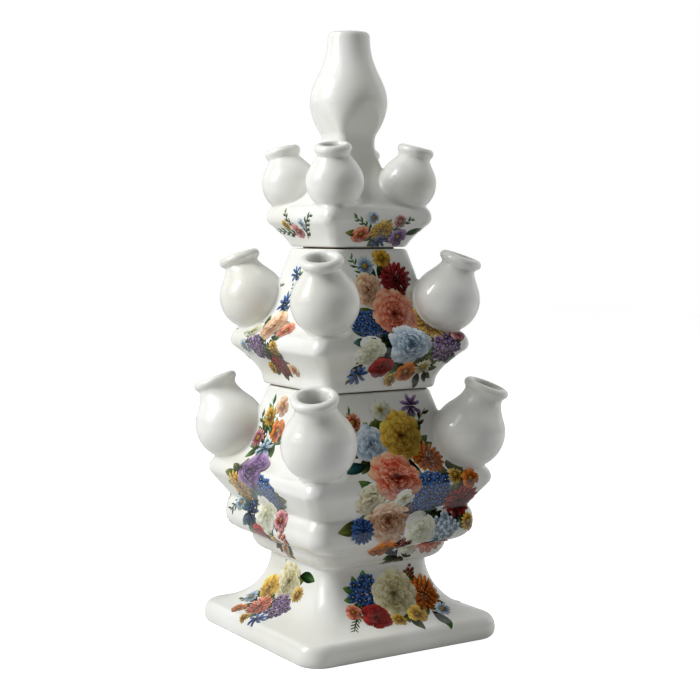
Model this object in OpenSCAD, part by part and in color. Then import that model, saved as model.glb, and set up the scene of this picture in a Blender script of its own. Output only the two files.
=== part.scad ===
// Tulipiere: a square flower tower of three stacked glazed tiers on a flared foot.
// Every tier is a water vessel with a leaning bulb spout on each corner, and the
// top tier ends in one tall crown spout. The tiers only stand in each other.
// Widths are measured across the flats, heights of a tier from its own underside.

/* [Foot] */
// Width of the foot at its plinth band
foot_w = 144; // [130:1:160]
// Height of the foot, from the table to the bowl that it carries
foot_h = 48; // [42:1:60]
// Height of the plinth band under the flare
foot_band_h = 14; // [11:0.5:18]
// How far the plinth band draws in above its widest line
foot_shoulder = 4; // [2:0.5:7]
// Width of the waist, where the foot meets the bowl
waist_w = 78; // [70:1:88]
// Corner radius of the plinth band
foot_corner_r = 14; // [8:1:20]
// Corner radius of the waist
waist_corner_r = 11; // [7:1:15]
// Width of the ring that the foot stands on
foot_ring_w = 7; // [5:0.5:12]

/* [Lower tier] */
// Height of the lower tier, from the waist to its rim
lower_h = 109; // [102:1:122]
// Width of the small step above the waist
lower_step_w = 97; // [90:1:104]
// Height of the top of the small step
lower_step_z = 13.5; // [10:0.5:16]
// Width of the round bulge
lower_bulge_w = 122; // [114:1:128]
// Height of the widest line of the bulge
lower_bulge_z = 25; // [21:0.5:29]
// Width of the groove between bulge and ledge
lower_groove_w = 115.5; // [110:0.5:120]
// Height of the groove
lower_groove_z = 36; // [33:0.5:40]
// Width of the ledge that carries the spouts
lower_ledge_w = 137; // [130:1:142]
// Height of the nose of the ledge
lower_ledge_z = 54; // [50:0.5:58]
// Width of the rim that the middle tier stands on
lower_rim_w = 80; // [74:1:86]
// Corner radius of the bulge
lower_bulge_corner_r = 12; // [8:0.5:16]
// Corner radius of the ledge and the walls above it
lower_corner_r = 9; // [6:0.5:12]

/* [Middle tier] */
// Height of the middle tier, from seat to rim
middle_h = 88; // [82:1:100]
// Width of the seat
middle_base_w = 83.5; // [78:0.5:90]
// Width of the ledge that carries the spouts
middle_ledge_w = 115; // [109:1:120]
// Height of the nose of the ledge
middle_ledge_z = 29; // [26:0.5:33]
// Width of the rim that the top tier stands on
middle_rim_w = 58; // [54:1:64]
// Corner radius of the tier
middle_corner_r = 8; // [5:0.5:11]

/* [Top tier] */
// Height of the top tier, from seat to the joint under the crown
top_h = 72; // [66:1:80]
// Width of the seat
top_base_w = 57; // [53:0.5:62]
// Width of the ledge that carries the spouts
top_ledge_w = 80; // [76:1:84]
// Height of the nose of the ledge
top_ledge_z = 19.5; // [17:0.5:22]
// Width of the square neck under the crown
neck_w = 26.4; // [24:0.2:30]
// Height of the straight part of the neck
neck_h = 8; // [5:1:12]
// Corner radius of the tier
top_corner_r = 6.5; // [4:0.5:9]
// Corner radius of the neck
neck_corner_r = 5; // [3:0.5:8]

/* [Crown] */
// Height of the crown spout
crown_h = 63; // [54:1:75]
// Diameter of the bulb of the crown
crown_bulb_d = 49; // [42:1:56]
// Height of the widest line of the bulb, above the neck
crown_bulb_z = 18.5; // [15:0.5:23]
// Diameter of the lip
crown_lip_d = 26.5; // [25:0.5:32]
// Bore of the lip
crown_bore_d = 18; // [12:0.5:19]

/* [Lower spouts] */
// Diameter of the bulbs
lower_bulb_d = 45.5; // [42:0.5:48]
// Distance from the middle of a bulb to the top of its lip
lower_reach = 33; // [30:0.5:38]
// Diameter of the lips
lower_lip_d = 29; // [27:0.5:33]
// Diameter of the necks
lower_neck_d = 24.6; // [23:0.2:27]
// Bore of the necks
lower_bore_d = 18; // [12:0.5:19]
// Outward lean of the spouts, in degrees
lower_lean = 20.5; // [14:0.5:26]
// How far the middle of a bulb lies inside the corner of the ledge
lower_inset = 14.8; // [13:0.1:17]
// How far the middle of a bulb lies above the nose of the ledge
lower_rise = 28.2; // [26:0.1:29.5]

/* [Middle spouts] */
// Diameter of the bulbs
middle_bulb_d = 42; // [39:0.5:44]
// Distance from the middle of a bulb to the top of its lip
middle_reach = 29.2; // [27:0.1:34]
// Diameter of the lips
middle_lip_d = 27; // [25:0.5:30]
// Diameter of the necks
middle_neck_d = 21.6; // [20:0.2:24]
// Bore of the necks
middle_bore_d = 15.5; // [10:0.5:16]
// Outward lean of the spouts, in degrees
middle_lean = 19.5; // [14:0.5:25]
// How far the middle of a bulb lies inside the corner of the ledge
middle_inset = 14.8; // [13:0.1:17]
// How far the middle of a bulb lies above the nose of the ledge
middle_rise = 27.6; // [25:0.1:29]

/* [Top spouts] */
// Diameter of the bulbs
top_bulb_d = 35.6; // [33:0.2:38]
// Distance from the middle of a bulb to the top of its lip
top_reach = 23.8; // [22:0.1:28]
// Diameter of the lips
top_lip_d = 23; // [22:0.2:26]
// Diameter of the necks
top_neck_d = 20; // [19:0.2:22]
// Bore of the necks
top_bore_d = 14; // [9:0.5:14.5]
// Outward lean of the spouts, in degrees
top_lean = 13.5; // [8:0.5:20]
// How far the middle of a bulb lies inside the corner of the ledge
top_inset = 15.7; // [14:0.1:17.5]
// How far the middle of a bulb lies above the nose of the ledge
top_rise = 21.2; // [19.5:0.1:22.5]

/* [Clay] */
// Thickness of the tier walls
wall = 5; // [4:0.25:6]
// Thickness of the floor of each tier
floor_t = 6; // [4:0.5:8]
// Thickness of the bulbs
bulb_wall = 4; // [3:0.25:5]
// Diameter of the water passage from a tier into each bulb
passage_d = 10; // [6:0.5:12]
// Rounding of the rims where two tiers meet
rim_round = 1.2; // [0.6:0.1:2]

/* [Register] */
// Width of the flat land around each rim's mouth
rim_land = 6.8; // [5:0.2:9]
// Depth of the spigot under a tier
spigot_depth = 8; // [5:0.5:12]
// Gap between spigot and mouth, on each side
spigot_gap = 0.8; // [0.4:0.1:1.5]
// Thickness of the spigot's wall
spigot_wall = 4; // [3:0.25:5]
// Corner radius inside the spigot
spigot_inside_r = 1.2; // [0.8:0.1:2]

/* [Hidden] */
// Segments on each corner of a square section
corner_n = 6;
// Fewest segments on a curve of an outline
curve_n = 4;

// Heights of the two seams and of the crown's joint above the table
lower_rim_z = foot_h + lower_h;
middle_rim_z = lower_rim_z + middle_h;
crown_z = middle_rim_z + top_h;

// Widths of the mouths that the spigots drop into
lower_mouth_w = lower_rim_w - 2 * (rim_land + rim_round);
middle_mouth_w = middle_rim_w - 2 * (rim_land + rim_round);
mouth_corner_r = 6;
mouth_depth = spigot_depth + 2;

// The round channel through the neck into the crown, and how much the hollow under it draws in first
neck_bore_r = neck_w / 2 - wall + 0.5;
neck_lead = 0.6;

// A ledge's rounded nose: its height under and over the tip, and how far its top falls back
nose_under = 3.5;
nose_over = 6;
nose_back = 2.2;

// Each spout: bulb, reach, lip, neck, bore
lower_spout_size = [lower_bulb_d, lower_reach, lower_lip_d, lower_neck_d, lower_bore_d];
middle_spout_size = [middle_bulb_d, middle_reach, middle_lip_d, middle_neck_d, middle_bore_d];
top_spout_size = [top_bulb_d, top_reach, top_lip_d, top_neck_d, top_bore_d];

// Directions of the four corners: front, right, back, left
corner_turn = [225, 315, 45, 135];

// Points on a quarter of an ellipse from p to q that leaves p sideways
function leave_flat(p, q, n = curve_n) = [
    for (i = [0:n]) let (t = 90 * i / n)
        [p.x + (q.x - p.x) * sin(t), p.y + (q.y - p.y) * (1 - cos(t))]
];

// Points on a quarter of an ellipse from p to q that leaves p upwards or downwards
function leave_upright(p, q, n = curve_n) = [
    for (i = [0:n]) let (t = 90 * i / n)
        [p.x + (q.x - p.x) * (1 - cos(t)), p.y + (q.y - p.y) * sin(t)]
];

// Points on a curve from p to q that is pulled towards c
function pulled(p, c, q, n = curve_n) = [
    for (i = [0:n]) let (t = i / n) p * pow(1 - t, 2) + c * 2 * t * (1 - t) + q * t * t
];

// Points on an S curve from p to q that is upright at both ends
function ogee(p, q, low, high, n = 2 * curve_n) = [
    for (i = [0:n]) let (t = i / n, u = 1 - t)
        p * pow(u, 3) + [p.x, low] * 3 * t * u * u + [q.x, high] * 3 * t * t * u + q * pow(t, 3)
];

// Points on a circle's arc about c
function arc(c, r, from, to, n = curve_n) = [
    for (i = [0:n]) let (t = from + (to - from) * i / n) c + r * [cos(t), sin(t)]
];

// An outline without the points that lie on their forerunner
function tidy(path) = [
    for (i = [0:len(path) - 1]) if (i == 0 || norm(path[i] - path[i - 1]) > 0.01) path[i]
];

// The same outline, moved up
function raised(path, z) = [for (p = path) [p.x, p.y + z]];

// Distance from the axis to the rounded corner of a square section
function corner_reach(w, r) = sqrt(2) * w / 2 - (sqrt(2) - 1) * r;

// One square section: half width and height in p, corner radius r
function section(p, r) = let (c = min(r, p.x)) [
    for (k = [0:3], i = [0:corner_n]) let (a = 90 * k + 90 * i / corner_n, m = 90 * k + 45)
        [sign(cos(m)) * (p.x - c) + c * cos(a), sign(sin(m)) * (p.x - c) + c * sin(a), p.y]
];

// A solid through square sections: path holds half widths and heights, radii the corner radii.
// An open path is closed by its first and last section, a looped one by itself.
module loft(path, radii, looped = false) {
    n = len(path);
    m = 4 * (corner_n + 1);
    points = [for (i = [0:n - 1]) each section(path[i], radii[i])];
    sides = [
        for (i = [0:looped ? n - 1 : n - 2], j = [0:m - 1])
            let (a = i * m, b = ((i + 1) % n) * m, k = (j + 1) % m)
                each [[a + j, b + j, b + k], [a + j, b + k, a + k]]
    ];
    caps = looped ? [] : [[for (j = [0:m - 1]) j], [for (j = [m - 1:-1:0]) (n - 1) * m + j]];
    polyhedron(points = points, faces = concat(sides, caps), convexity = 8);
}

// The quarter of such a solid that holds corner k
module corner_loft(k, path, radii) {
    n = len(path);
    m = corner_n + 4;
    points = [
        for (i = [0:n - 1]) let (p = path[i], s = section(p, radii[i]))
            each concat([[0, 0, p.y], [p.x, 0, p.y]], [for (j = [0:corner_n]) s[j]], [[0, p.x, p.y]])
    ];
    sides = [
        for (i = [0:n - 2], j = [0:m - 1]) let (a = i * m, b = a + m, c = (j + 1) % m)
            each [[a + j, b + j, b + c], [a + j, b + c, a + c]]
    ];
    caps = [[for (j = [0:m - 1]) j], [for (j = [m - 1:-1:0]) (n - 1) * m + j]];
    rotate(corner_turn[k] - 45) polyhedron(points = points, faces = concat(sides, caps), convexity = 6);
}

// Corner radii of a path from a table of heights and radii
function radii_of(path, table) = [for (p = path) lookup(p.y, table)];

// Corner radii inside a wall
function inner_radii(path, table) = [for (p = path) max(1.5, lookup(p.y, table) - wall / 2)];

// The end of a ledge's underside
function nose_start(w, z) = [w / 2 - 0.6 * nose_back, z - nose_under];

// The rounded ledge at height z: from the end of its underside to the start of the wall
function ledge_nose(w, z) = pulled(
    nose_start(w, z),
    [w / 2 + nose_back / 2, z],
    [w / 2 - nose_back, z + nose_over],
    curve_n + 1
);

// The wall from a ledge up to the rim, hollow near the ledge, with a rounded rim
function ledge_wall(w, z, rim_w, rim_z) = let (
    foot_point = [w / 2 - nose_back, z + nose_over],
    rim_point = [rim_w / 2, rim_z - rim_round],
    rise = rim_point.y - foot_point.y,
    fall = foot_point.x - rim_point.x,
    upper = [rim_point.x + 0.14 * fall, rim_point.y - 0.26 * rise]
) concat(
    pulled(foot_point, [rim_point.x + 0.4 * fall, foot_point.y + 0.14 * rise], upper, 2 * curve_n),
    leave_upright(rim_point, [rim_w / 2 - rim_round, rim_z], 2)
);

// The mouth of a rim and the inside wall down to the hollow of the ledge
function mouth_and_wall(mouth_w, rim_z, ledge_w, ledge_z) = let (
    throat = [mouth_w / 2, rim_z - mouth_depth],
    hollow = [ledge_w / 2 - nose_back - 1.5 * wall, ledge_z],
    drop = throat.y - hollow.y
) concat(
    [[mouth_w / 2, rim_z]],
    pulled(throat, [throat.x + 0.4 * (hollow.x - throat.x), hollow.y + 0.45 * drop], hollow, curve_n)
);

// The spigot under a tier, from its underside out to the seat at the outer edge
function spigot(mouth_w, base_w) = let (w = mouth_w / 2 - spigot_gap) [
    [w - spigot_wall, 0],
    [w - spigot_wall, -spigot_depth],
    [w - rim_round, -spigot_depth],
    [w, -spigot_depth + rim_round],
    [w, 0],
    [base_w / 2 - rim_round, 0]
];

// Corner radii along a spigot: small inside, the mouth's outside, the tier's own at the seat
function spigot_radii(path, mouth_w, corner_r) = let (inside = mouth_w / 2 - spigot_gap - spigot_wall) [
    for (p = path)
        p.x > mouth_w / 2 ? corner_r : p.x < inside + 0.1 ? spigot_inside_r : mouth_corner_r - spigot_gap
];

// The foot

foot_radii = [[0, foot_corner_r], [foot_band_h, foot_corner_r], [foot_h, waist_corner_r]];

function foot_outside() = let (
    widest = [foot_w / 2, 0.4 * foot_band_h],
    shoulder = [foot_w / 2 - foot_shoulder, foot_band_h],
    waist = [waist_w / 2, foot_h - 1.5]
) concat(
    leave_flat([foot_w / 2 - 2, 0], widest, 3),
    leave_upright(widest, shoulder, 4),
    pulled(shoulder, [waist_w / 2 + 4, foot_band_h + 6], waist, 10),
    [[waist_w / 2, foot_h]]
);

function foot_inside() = let (
    ring = [foot_w / 2 - foot_ring_w - 2, 0],
    band = [foot_w / 2 - foot_ring_w - 2, foot_band_h - wall],
    waist = [waist_w / 2 - wall, foot_h - 1.5]
) concat(
    [[waist_w / 2 - wall, foot_h]],
    pulled(waist, [waist_w / 2 - 0.2 * wall, foot_band_h + 6 - wall], band, 7),
    [ring]
);

module foot() {
    outside = tidy(foot_outside());
    inside = tidy(foot_inside());
    color("white") loft(
        concat(outside, inside),
        concat(radii_of(outside, foot_radii), inner_radii(inside, foot_radii)),
        looped = true
    );
}

// The lower tier

lower_radii = [
    [0, waist_corner_r], [lower_step_z, lower_bulge_corner_r], [lower_bulge_z, lower_bulge_corner_r],
    [lower_ledge_z, lower_corner_r], [lower_h, lower_corner_r]
];

function lower_upper_outside() = concat(
    ledge_nose(lower_ledge_w, lower_ledge_z),
    ledge_wall(lower_ledge_w, lower_ledge_z, lower_rim_w, lower_h)
);

function lower_outside() = let (
    step = [lower_step_w / 2, lower_step_z],
    bulge = [lower_bulge_w / 2, lower_bulge_z],
    groove = [lower_groove_w / 2, lower_groove_z]
) concat(
    [[waist_w / 2, 0]],
    leave_flat([waist_w / 2, 1.5], step, 5),
    leave_flat(step, bulge, 5),
    pulled(bulge, [bulge.x, 0.35 * bulge.y + 0.65 * groove.y], groove, 4),
    lower_upper_outside()
);

function lower_inside() = concat(
    mouth_and_wall(lower_mouth_w, lower_h, lower_ledge_w, lower_ledge_z),
    [[lower_groove_w / 2 - 1.2 * wall, lower_groove_z + 1]],
    leave_upright(
        [lower_groove_w / 2 - 1.2 * wall, lower_bulge_z - 1],
        [lower_step_w / 2 - wall, lower_step_z + 0.8 * wall],
        4
    ),
    [[lower_step_w / 2 - 2 * wall, floor_t]]
);

module lower_bowl() {
    outside = tidy(lower_outside());
    inside = tidy(lower_inside());
    color("white") translate([0, 0, foot_h]) difference() {
        loft(
            concat(outside, inside),
            concat(radii_of(outside, lower_radii), inner_radii(inside, lower_radii))
        );
        for (k = [0:3]) lower_place(k) passage(lower_bulb_d);
    }
}

// The middle tier

middle_radii = [[-spigot_depth, mouth_corner_r - spigot_gap], [-0.01, mouth_corner_r - spigot_gap],
    [0, middle_corner_r], [middle_h, middle_corner_r]];

function middle_upper_outside() = concat(
    ledge_nose(middle_ledge_w, middle_ledge_z),
    ledge_wall(middle_ledge_w, middle_ledge_z, middle_rim_w, middle_h)
);

function middle_outside() = concat(
    leave_flat([middle_base_w / 2 - rim_round, 0], [middle_base_w / 2, rim_round], 2),
    pulled(
        [middle_base_w / 2 + 0.5, 0.2 * middle_ledge_z],
        [middle_base_w / 2 + 1.5, 0.46 * middle_ledge_z],
        nose_start(middle_ledge_w, middle_ledge_z),
        6
    ),
    middle_upper_outside()
);

function middle_inside() = concat(
    mouth_and_wall(middle_mouth_w, middle_h, middle_ledge_w, middle_ledge_z),
    leave_upright(
        [middle_base_w / 2 - 0.8 * wall, 0.55 * middle_ledge_z],
        [middle_base_w / 2 - 2 * wall, floor_t],
        3
    )
);

module middle_bowl() {
    under = spigot(lower_mouth_w, middle_base_w);
    outside = tidy(middle_outside());
    inside = tidy(middle_inside());
    color("white") translate([0, 0, lower_rim_z]) difference() {
        loft(
            concat(under, outside, inside),
            concat(
                spigot_radii(under, lower_mouth_w, middle_corner_r),
                radii_of(outside, middle_radii),
                inner_radii(inside, middle_radii)
            )
        );
        for (k = [0:3]) middle_place(k) passage(middle_bulb_d);
    }
}

// The top tier

top_radii = [[0, top_corner_r], [top_ledge_z + nose_over, top_corner_r], [top_h - neck_h, neck_corner_r],
    [top_h, neck_corner_r]];

function top_upper_outside() = let (
    shoulder = [top_ledge_w / 2 - nose_back, top_ledge_z + nose_over],
    neck = [neck_w / 2, top_h - neck_h],
    fall = shoulder.x - neck.x,
    rise = neck.y - shoulder.y
) concat(
    ledge_nose(top_ledge_w, top_ledge_z),
    pulled(shoulder, [neck.x + 0.24 * fall, shoulder.y + 0.2 * rise], neck, 2 * curve_n),
    [[neck_w / 2, top_h]]
);

function top_outside() = concat(
    leave_flat([top_base_w / 2 - rim_round, 0], [top_base_w / 2, rim_round], 2),
    pulled(
        [top_base_w / 2 + 0.3, 0.14 * top_ledge_z],
        [top_base_w / 2 + 2.5, 0.4 * top_ledge_z],
        nose_start(top_ledge_w, top_ledge_z),
        6
    ),
    top_upper_outside()
);

function top_inside() = let (
    hollow = [top_ledge_w / 2 - nose_back - 1.5 * wall, top_ledge_z],
    throat = [neck_bore_r - neck_lead, top_h - neck_h],
    drop = throat.y - hollow.y
) concat(
    [[throat.x, top_h]],
    pulled(throat, [throat.x + 0.3 * (hollow.x - throat.x), hollow.y + 0.3 * drop], hollow, 5),
    leave_upright(
        [top_base_w / 2 - wall, 0.6 * top_ledge_z],
        [top_base_w / 2 - 2 * wall, floor_t],
        3
    )
);

module top_bowl() {
    under = spigot(middle_mouth_w, top_base_w);
    outside = tidy(top_outside());
    inside = tidy(top_inside());
    channel = [[0, top_corner_r - wall / 2], [top_ledge_z + nose_over, top_corner_r - wall / 2],
        [top_h - neck_h, 0.97 * (neck_bore_r - neck_lead)]];
    color("white") translate([0, 0, middle_rim_z]) difference() {
        loft(
            concat(under, outside, inside),
            concat(
                spigot_radii(under, middle_mouth_w, top_corner_r),
                radii_of(outside, top_radii),
                radii_of(inside, channel)
            )
        );
        translate([0, 0, top_h - neck_h - 4]) cylinder(r = neck_bore_r, h = neck_h + 5, $fn = 64);
        for (k = [0:3]) top_place(k) passage(top_bulb_d);
    }
}

// The crown, square at its neck and round from its bulb up: distance from the axis to the corners

// Rounding of the crown's lip, and width of the flat on top of it
lip_round = 1.8;
lip_flat = 0.7;

function crown_outside() = let (
    neck = [corner_reach(neck_w, neck_corner_r), 0],
    bulb = [crown_bulb_d / 2, crown_bulb_z],
    lip = [crown_lip_d / 2, crown_h - 3]
) concat(
    [neck],
    pulled([neck.x, 0.08 * crown_bulb_z], [bulb.x - 0.8, 0.33 * crown_bulb_z], bulb, 7),
    ogee(bulb, lip, crown_bulb_z + 0.38 * (lip.y - bulb.y), crown_bulb_z + 0.5 * (lip.y - bulb.y), 9),
    leave_upright(lip, [lip.x - lip_round, crown_h], 3)
);

// How round the crown is at height z: the corner radius as a share of the half width
function crown_roundness(z) = let (start = 2 * neck_corner_r / neck_w, t = min(1, z / crown_bulb_z))
    start + (0.98 - start) * t * t * (3 - 2 * t);

function crown_inside() = let (
    bulb = [crown_bulb_d / 2 - bulb_wall, crown_bulb_z],
    bore_r = crown_bore_d / 2,
    throat = [bore_r, crown_h - 15]
) concat(
    ogee([neck_bore_r, 3], bulb, 0.5 * crown_bulb_z, 0.45 * crown_bulb_z, 5),
    ogee(bulb, throat, crown_bulb_z + 0.4 * (throat.y - bulb.y), crown_bulb_z + 0.6 * (throat.y - bulb.y), 6)
);

module crown_spout() {
    reach = tidy(crown_outside());
    share = [for (p = reach) crown_roundness(p.y)];
    outside = [for (i = [0:len(reach) - 1]) [reach[i].x / (sqrt(2) - (sqrt(2) - 1) * share[i]), reach[i].y]];
    lip_edge = crown_lip_d / 2 - crown_bore_d / 2 - lip_round - lip_flat;
    color("white") translate([0, 0, crown_z]) difference() {
        loft(outside, [for (i = [0:len(outside) - 1]) outside[i].x * share[i]]);
        rotate_extrude() polygon(concat(
            [[0, -1], [neck_bore_r, -1]],
            tidy(crown_inside()),
            [
                [crown_bore_d / 2, crown_h - lip_edge],
                [crown_bore_d / 2 + lip_edge, crown_h],
                [crown_bore_d / 2 + lip_edge, crown_h + 1],
                [0, crown_h + 1]
            ]
        ));
    }
}

// The bulb spouts

// Half the height of the bead around a lip
bead_r = 3;
// Angle above its middle up to which a bulb is round
bulb_shoulder = 38;

// Where the slope of a bulb of radius r meets the upright of a neck
function neck_pull(r, neck_r) = [neck_r, (r - neck_r * cos(bulb_shoulder)) / sin(bulb_shoulder)];

// Outline of a spout about its own axis, with the middle of the bulb at height 0
function spout_outline(size) = let (
    bulb_r = size[0] / 2, reach = size[1], lip_r = size[2] / 2, neck_r = size[3] / 2, bore_r = size[4] / 2,
    low = asin(passage_d / 2 / bulb_r),
    inner_r = bulb_r - bulb_wall,
    inner_low = asin(passage_d / 2 / inner_r),
    shoulder = [cos(bulb_shoulder), sin(bulb_shoulder)],
    pull = neck_pull(bulb_r, neck_r),
    inner_pull = neck_pull(inner_r, bore_r),
    neck = [neck_r, max(reach - 2.4 * bead_r, pull.y + 0.3)],
    bead = [lip_r - bead_r, reach - bead_r]
) concat(
    arc([0, 0], bulb_r, low - 90, bulb_shoulder, 9),
    pulled(bulb_r * shoulder, pull, neck, 5),
    pulled(neck, [neck_r, reach - 2 * bead_r], bead + bead_r * [cos(40), -sin(40)], 2),
    arc(bead, bead_r, -40, 90, 6),
    leave_flat(bead + [0, bead_r], [bore_r, reach - bead_r + 0.4], 3),
    pulled(inner_pull + [0, 2], inner_pull, inner_r * shoulder, 4),
    arc([0, 0], inner_r, bulb_shoulder, inner_low - 90, 7)
);

// A spout about its own axis
module spout(size) {
    rotate_extrude() polygon(tidy(spout_outline(size)));
}

// The water passage from a bulb down through the wall of its tier
module passage(bulb_d) {
    translate([0, 0, -bulb_d / 2 - 2 * wall]) cylinder(d = passage_d, h = bulb_d / 2 + 2 * wall, $fn = 48);
}

// The place of a spout on corner k: distance from the axis, height, lean
module corner_place(k, reach, z, lean) {
    rotate(corner_turn[k]) translate([reach, 0, z]) rotate([0, lean, 0]) children();
}

module lower_place(k) {
    corner_place(
        k, corner_reach(lower_ledge_w, lower_corner_r) - lower_inset,
        lower_ledge_z + lower_rise, lower_lean
    ) children();
}

module middle_place(k) {
    corner_place(
        k, corner_reach(middle_ledge_w, middle_corner_r) - middle_inset,
        middle_ledge_z + middle_rise, middle_lean
    ) children();
}

module top_place(k) {
    corner_place(
        k, corner_reach(top_ledge_w, top_corner_r) - top_inset,
        top_ledge_z + top_rise, top_lean
    ) children();
}

// A spout is cut to the outside of its tier, which it is joined to
module lower_spout(k) {
    upper = tidy(lower_upper_outside());
    color("white") translate([0, 0, foot_h]) difference() {
        lower_place(k) spout(lower_spout_size);
        corner_loft(k, upper, radii_of(upper, lower_radii));
    }
}

module middle_spout(k) {
    upper = tidy(middle_upper_outside());
    color("white") translate([0, 0, lower_rim_z]) difference() {
        middle_place(k) spout(middle_spout_size);
        corner_loft(k, upper, radii_of(upper, middle_radii));
    }
}

module top_spout(k) {
    upper = tidy(top_upper_outside());
    color("white") translate([0, 0, middle_rim_z]) difference() {
        top_place(k) spout(top_spout_size);
        corner_loft(k, upper, radii_of(upper, top_radii));
    }
}

foot();
lower_bowl();
lower_spout(0);  // lower_spout_front
lower_spout(1);  // lower_spout_right
lower_spout(2);  // lower_spout_back
lower_spout(3);  // lower_spout_left
middle_bowl();
middle_spout(0);  // middle_spout_front
middle_spout(1);  // middle_spout_right
middle_spout(2);  // middle_spout_back
middle_spout(3);  // middle_spout_left
top_bowl();
top_spout(0);  // top_spout_front
top_spout(1);  // top_spout_right
top_spout(2);  // top_spout_back
top_spout(3);  // top_spout_left
crown_spout();
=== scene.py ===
import math

import bpy
import numpy as np
from mathutils import Euler, Matrix, Vector


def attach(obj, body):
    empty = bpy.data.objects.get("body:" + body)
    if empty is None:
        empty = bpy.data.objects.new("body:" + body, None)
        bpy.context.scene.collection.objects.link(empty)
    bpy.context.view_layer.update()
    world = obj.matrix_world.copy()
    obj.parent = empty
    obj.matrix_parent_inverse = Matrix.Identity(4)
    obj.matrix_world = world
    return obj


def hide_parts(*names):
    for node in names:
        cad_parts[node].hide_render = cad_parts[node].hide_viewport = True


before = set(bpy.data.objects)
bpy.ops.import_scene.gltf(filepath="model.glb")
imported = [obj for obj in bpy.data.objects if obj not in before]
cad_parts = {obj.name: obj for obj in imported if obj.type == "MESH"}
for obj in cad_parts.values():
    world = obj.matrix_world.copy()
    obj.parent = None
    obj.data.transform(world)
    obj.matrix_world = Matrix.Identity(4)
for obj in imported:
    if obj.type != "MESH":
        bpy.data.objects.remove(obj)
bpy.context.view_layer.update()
scene = bpy.context.scene
mm = 0.001

# Curves of an outline from p to q, as rows of half width and height in millimetres


def pulled(p, c, q, n=24):
    # quadratic curve towards c: (1-t)^2 p + 2t(1-t) c + t^2 q
    t = np.linspace(0, 1, n + 1)[:, None]
    return np.array(p) * (1 - t) ** 2 + np.array(c) * 2 * t * (1 - t) + np.array(q) * t**2


def leaveFlat(p, q, n=20):
    # quarter of an ellipse that leaves p sideways: width by the sine, height by one less the cosine
    t = np.linspace(0, math.pi / 2, n + 1)
    return np.stack([p[0] + (q[0] - p[0]) * np.sin(t), p[1] + (q[1] - p[1]) * (1 - np.cos(t))], 1)


def leaveUpright(p, q, n=20):
    # quarter of an ellipse that leaves p upwards: sine and cosine change places
    t = np.linspace(0, math.pi / 2, n + 1)
    return np.stack([p[0] + (q[0] - p[0]) * (1 - np.cos(t)), p[1] + (q[1] - p[1]) * np.sin(t)], 1)


def ogee(p, q, low, high, n=36):
    # cubic S curve, upright at both ends, with its inner points at heights low and high
    t = np.linspace(0, 1, n + 1)[:, None]
    a, b = np.array([p[0], low]), np.array([q[0], high])
    return np.array(p) * (1 - t) ** 3 + a * 3 * t * (1 - t) ** 2 + b * 3 * t**2 * (1 - t) + np.array(q) * t**3


def arcOf(c, r, start, end, n=24):
    # circle about c from one angle to another, in degrees
    t = np.radians(np.linspace(start, end, n + 1))
    return np.array(c) + r * np.stack([np.cos(t), np.sin(t)], 1)


def withRadii(path, table):
    # third column: the corner radius at each height, straight between the table's rows
    table = np.array(table, float)
    return np.column_stack([path, np.interp(path[:, 1], table[:, 0], table[:, 1])])


def softened(path, step=0.8, blur=0.8):
    # walks the outline in even steps, then a bell-shaped average rounds its creases as glaze does
    length = np.r_[0, np.cumsum(np.hypot(*np.diff(path[:, :2], axis=0).T))]
    count = max(8, int(round(length[-1] / step)))
    at = np.linspace(0, length[-1], count + 1)
    even = np.stack([np.interp(at, length, column) for column in path.T], 1)
    reach = min(5, count - 1)
    bell = np.exp(-0.5 * (np.arange(-reach, reach + 1) * step / blur) ** 2)
    ends = np.concatenate([2 * even[:1] - even[reach:0:-1], even, 2 * even[-1:] - even[-2 : -2 - reach : -1]])
    return np.stack([np.convolve(column, bell / bell.sum(), "valid") for column in ends.T], 1)


# Surfaces

ring = {"cornerSteps": 16, "flatSteps": 12}
crease = {"clay": 38, "print": 50}  # degrees past which an edge stays sharp


def squareRing(cornerSteps, flatSteps):
    # once round a rounded square: each point's share of the corner centre, and its outward normal
    shares, normals = [], []
    for k in range(4):
        turn = np.radians(90 * k + np.linspace(0, 90, cornerSteps + 1))
        here = np.sign(np.cos(np.radians(90 * k + 45))), np.sign(np.sin(np.radians(90 * k + 45)))
        after = np.sign(np.cos(np.radians(90 * k + 135))), np.sign(np.sin(np.radians(90 * k + 135)))
        f = np.linspace(0, 1, flatSteps + 1)[1:-1, None]
        shares += [np.tile(here, (cornerSteps + 1, 1)), (1 - f) * np.array(here) + f * np.array(after)]
        normals += [np.stack([np.cos(turn), np.sin(turn)], 1)]
        normals += [np.tile(normals[-1][-1], (flatSteps - 1, 1))]
    return np.concatenate(shares), np.concatenate(normals)


ringShare, ringNormal = squareRing(**ring)


def lofted(path):
    # square sections on a path: corner centre times its share, plus the corner radius along the normal
    r = np.minimum(path[:, 2], path[:, 0])[:, None, None]
    flat = (path[:, 0, None, None] - r) * ringShare + r * ringNormal
    height = np.broadcast_to(path[:, 1, None, None], flat.shape[:2] + (1,))
    return np.concatenate([flat, height], 2)


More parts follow.
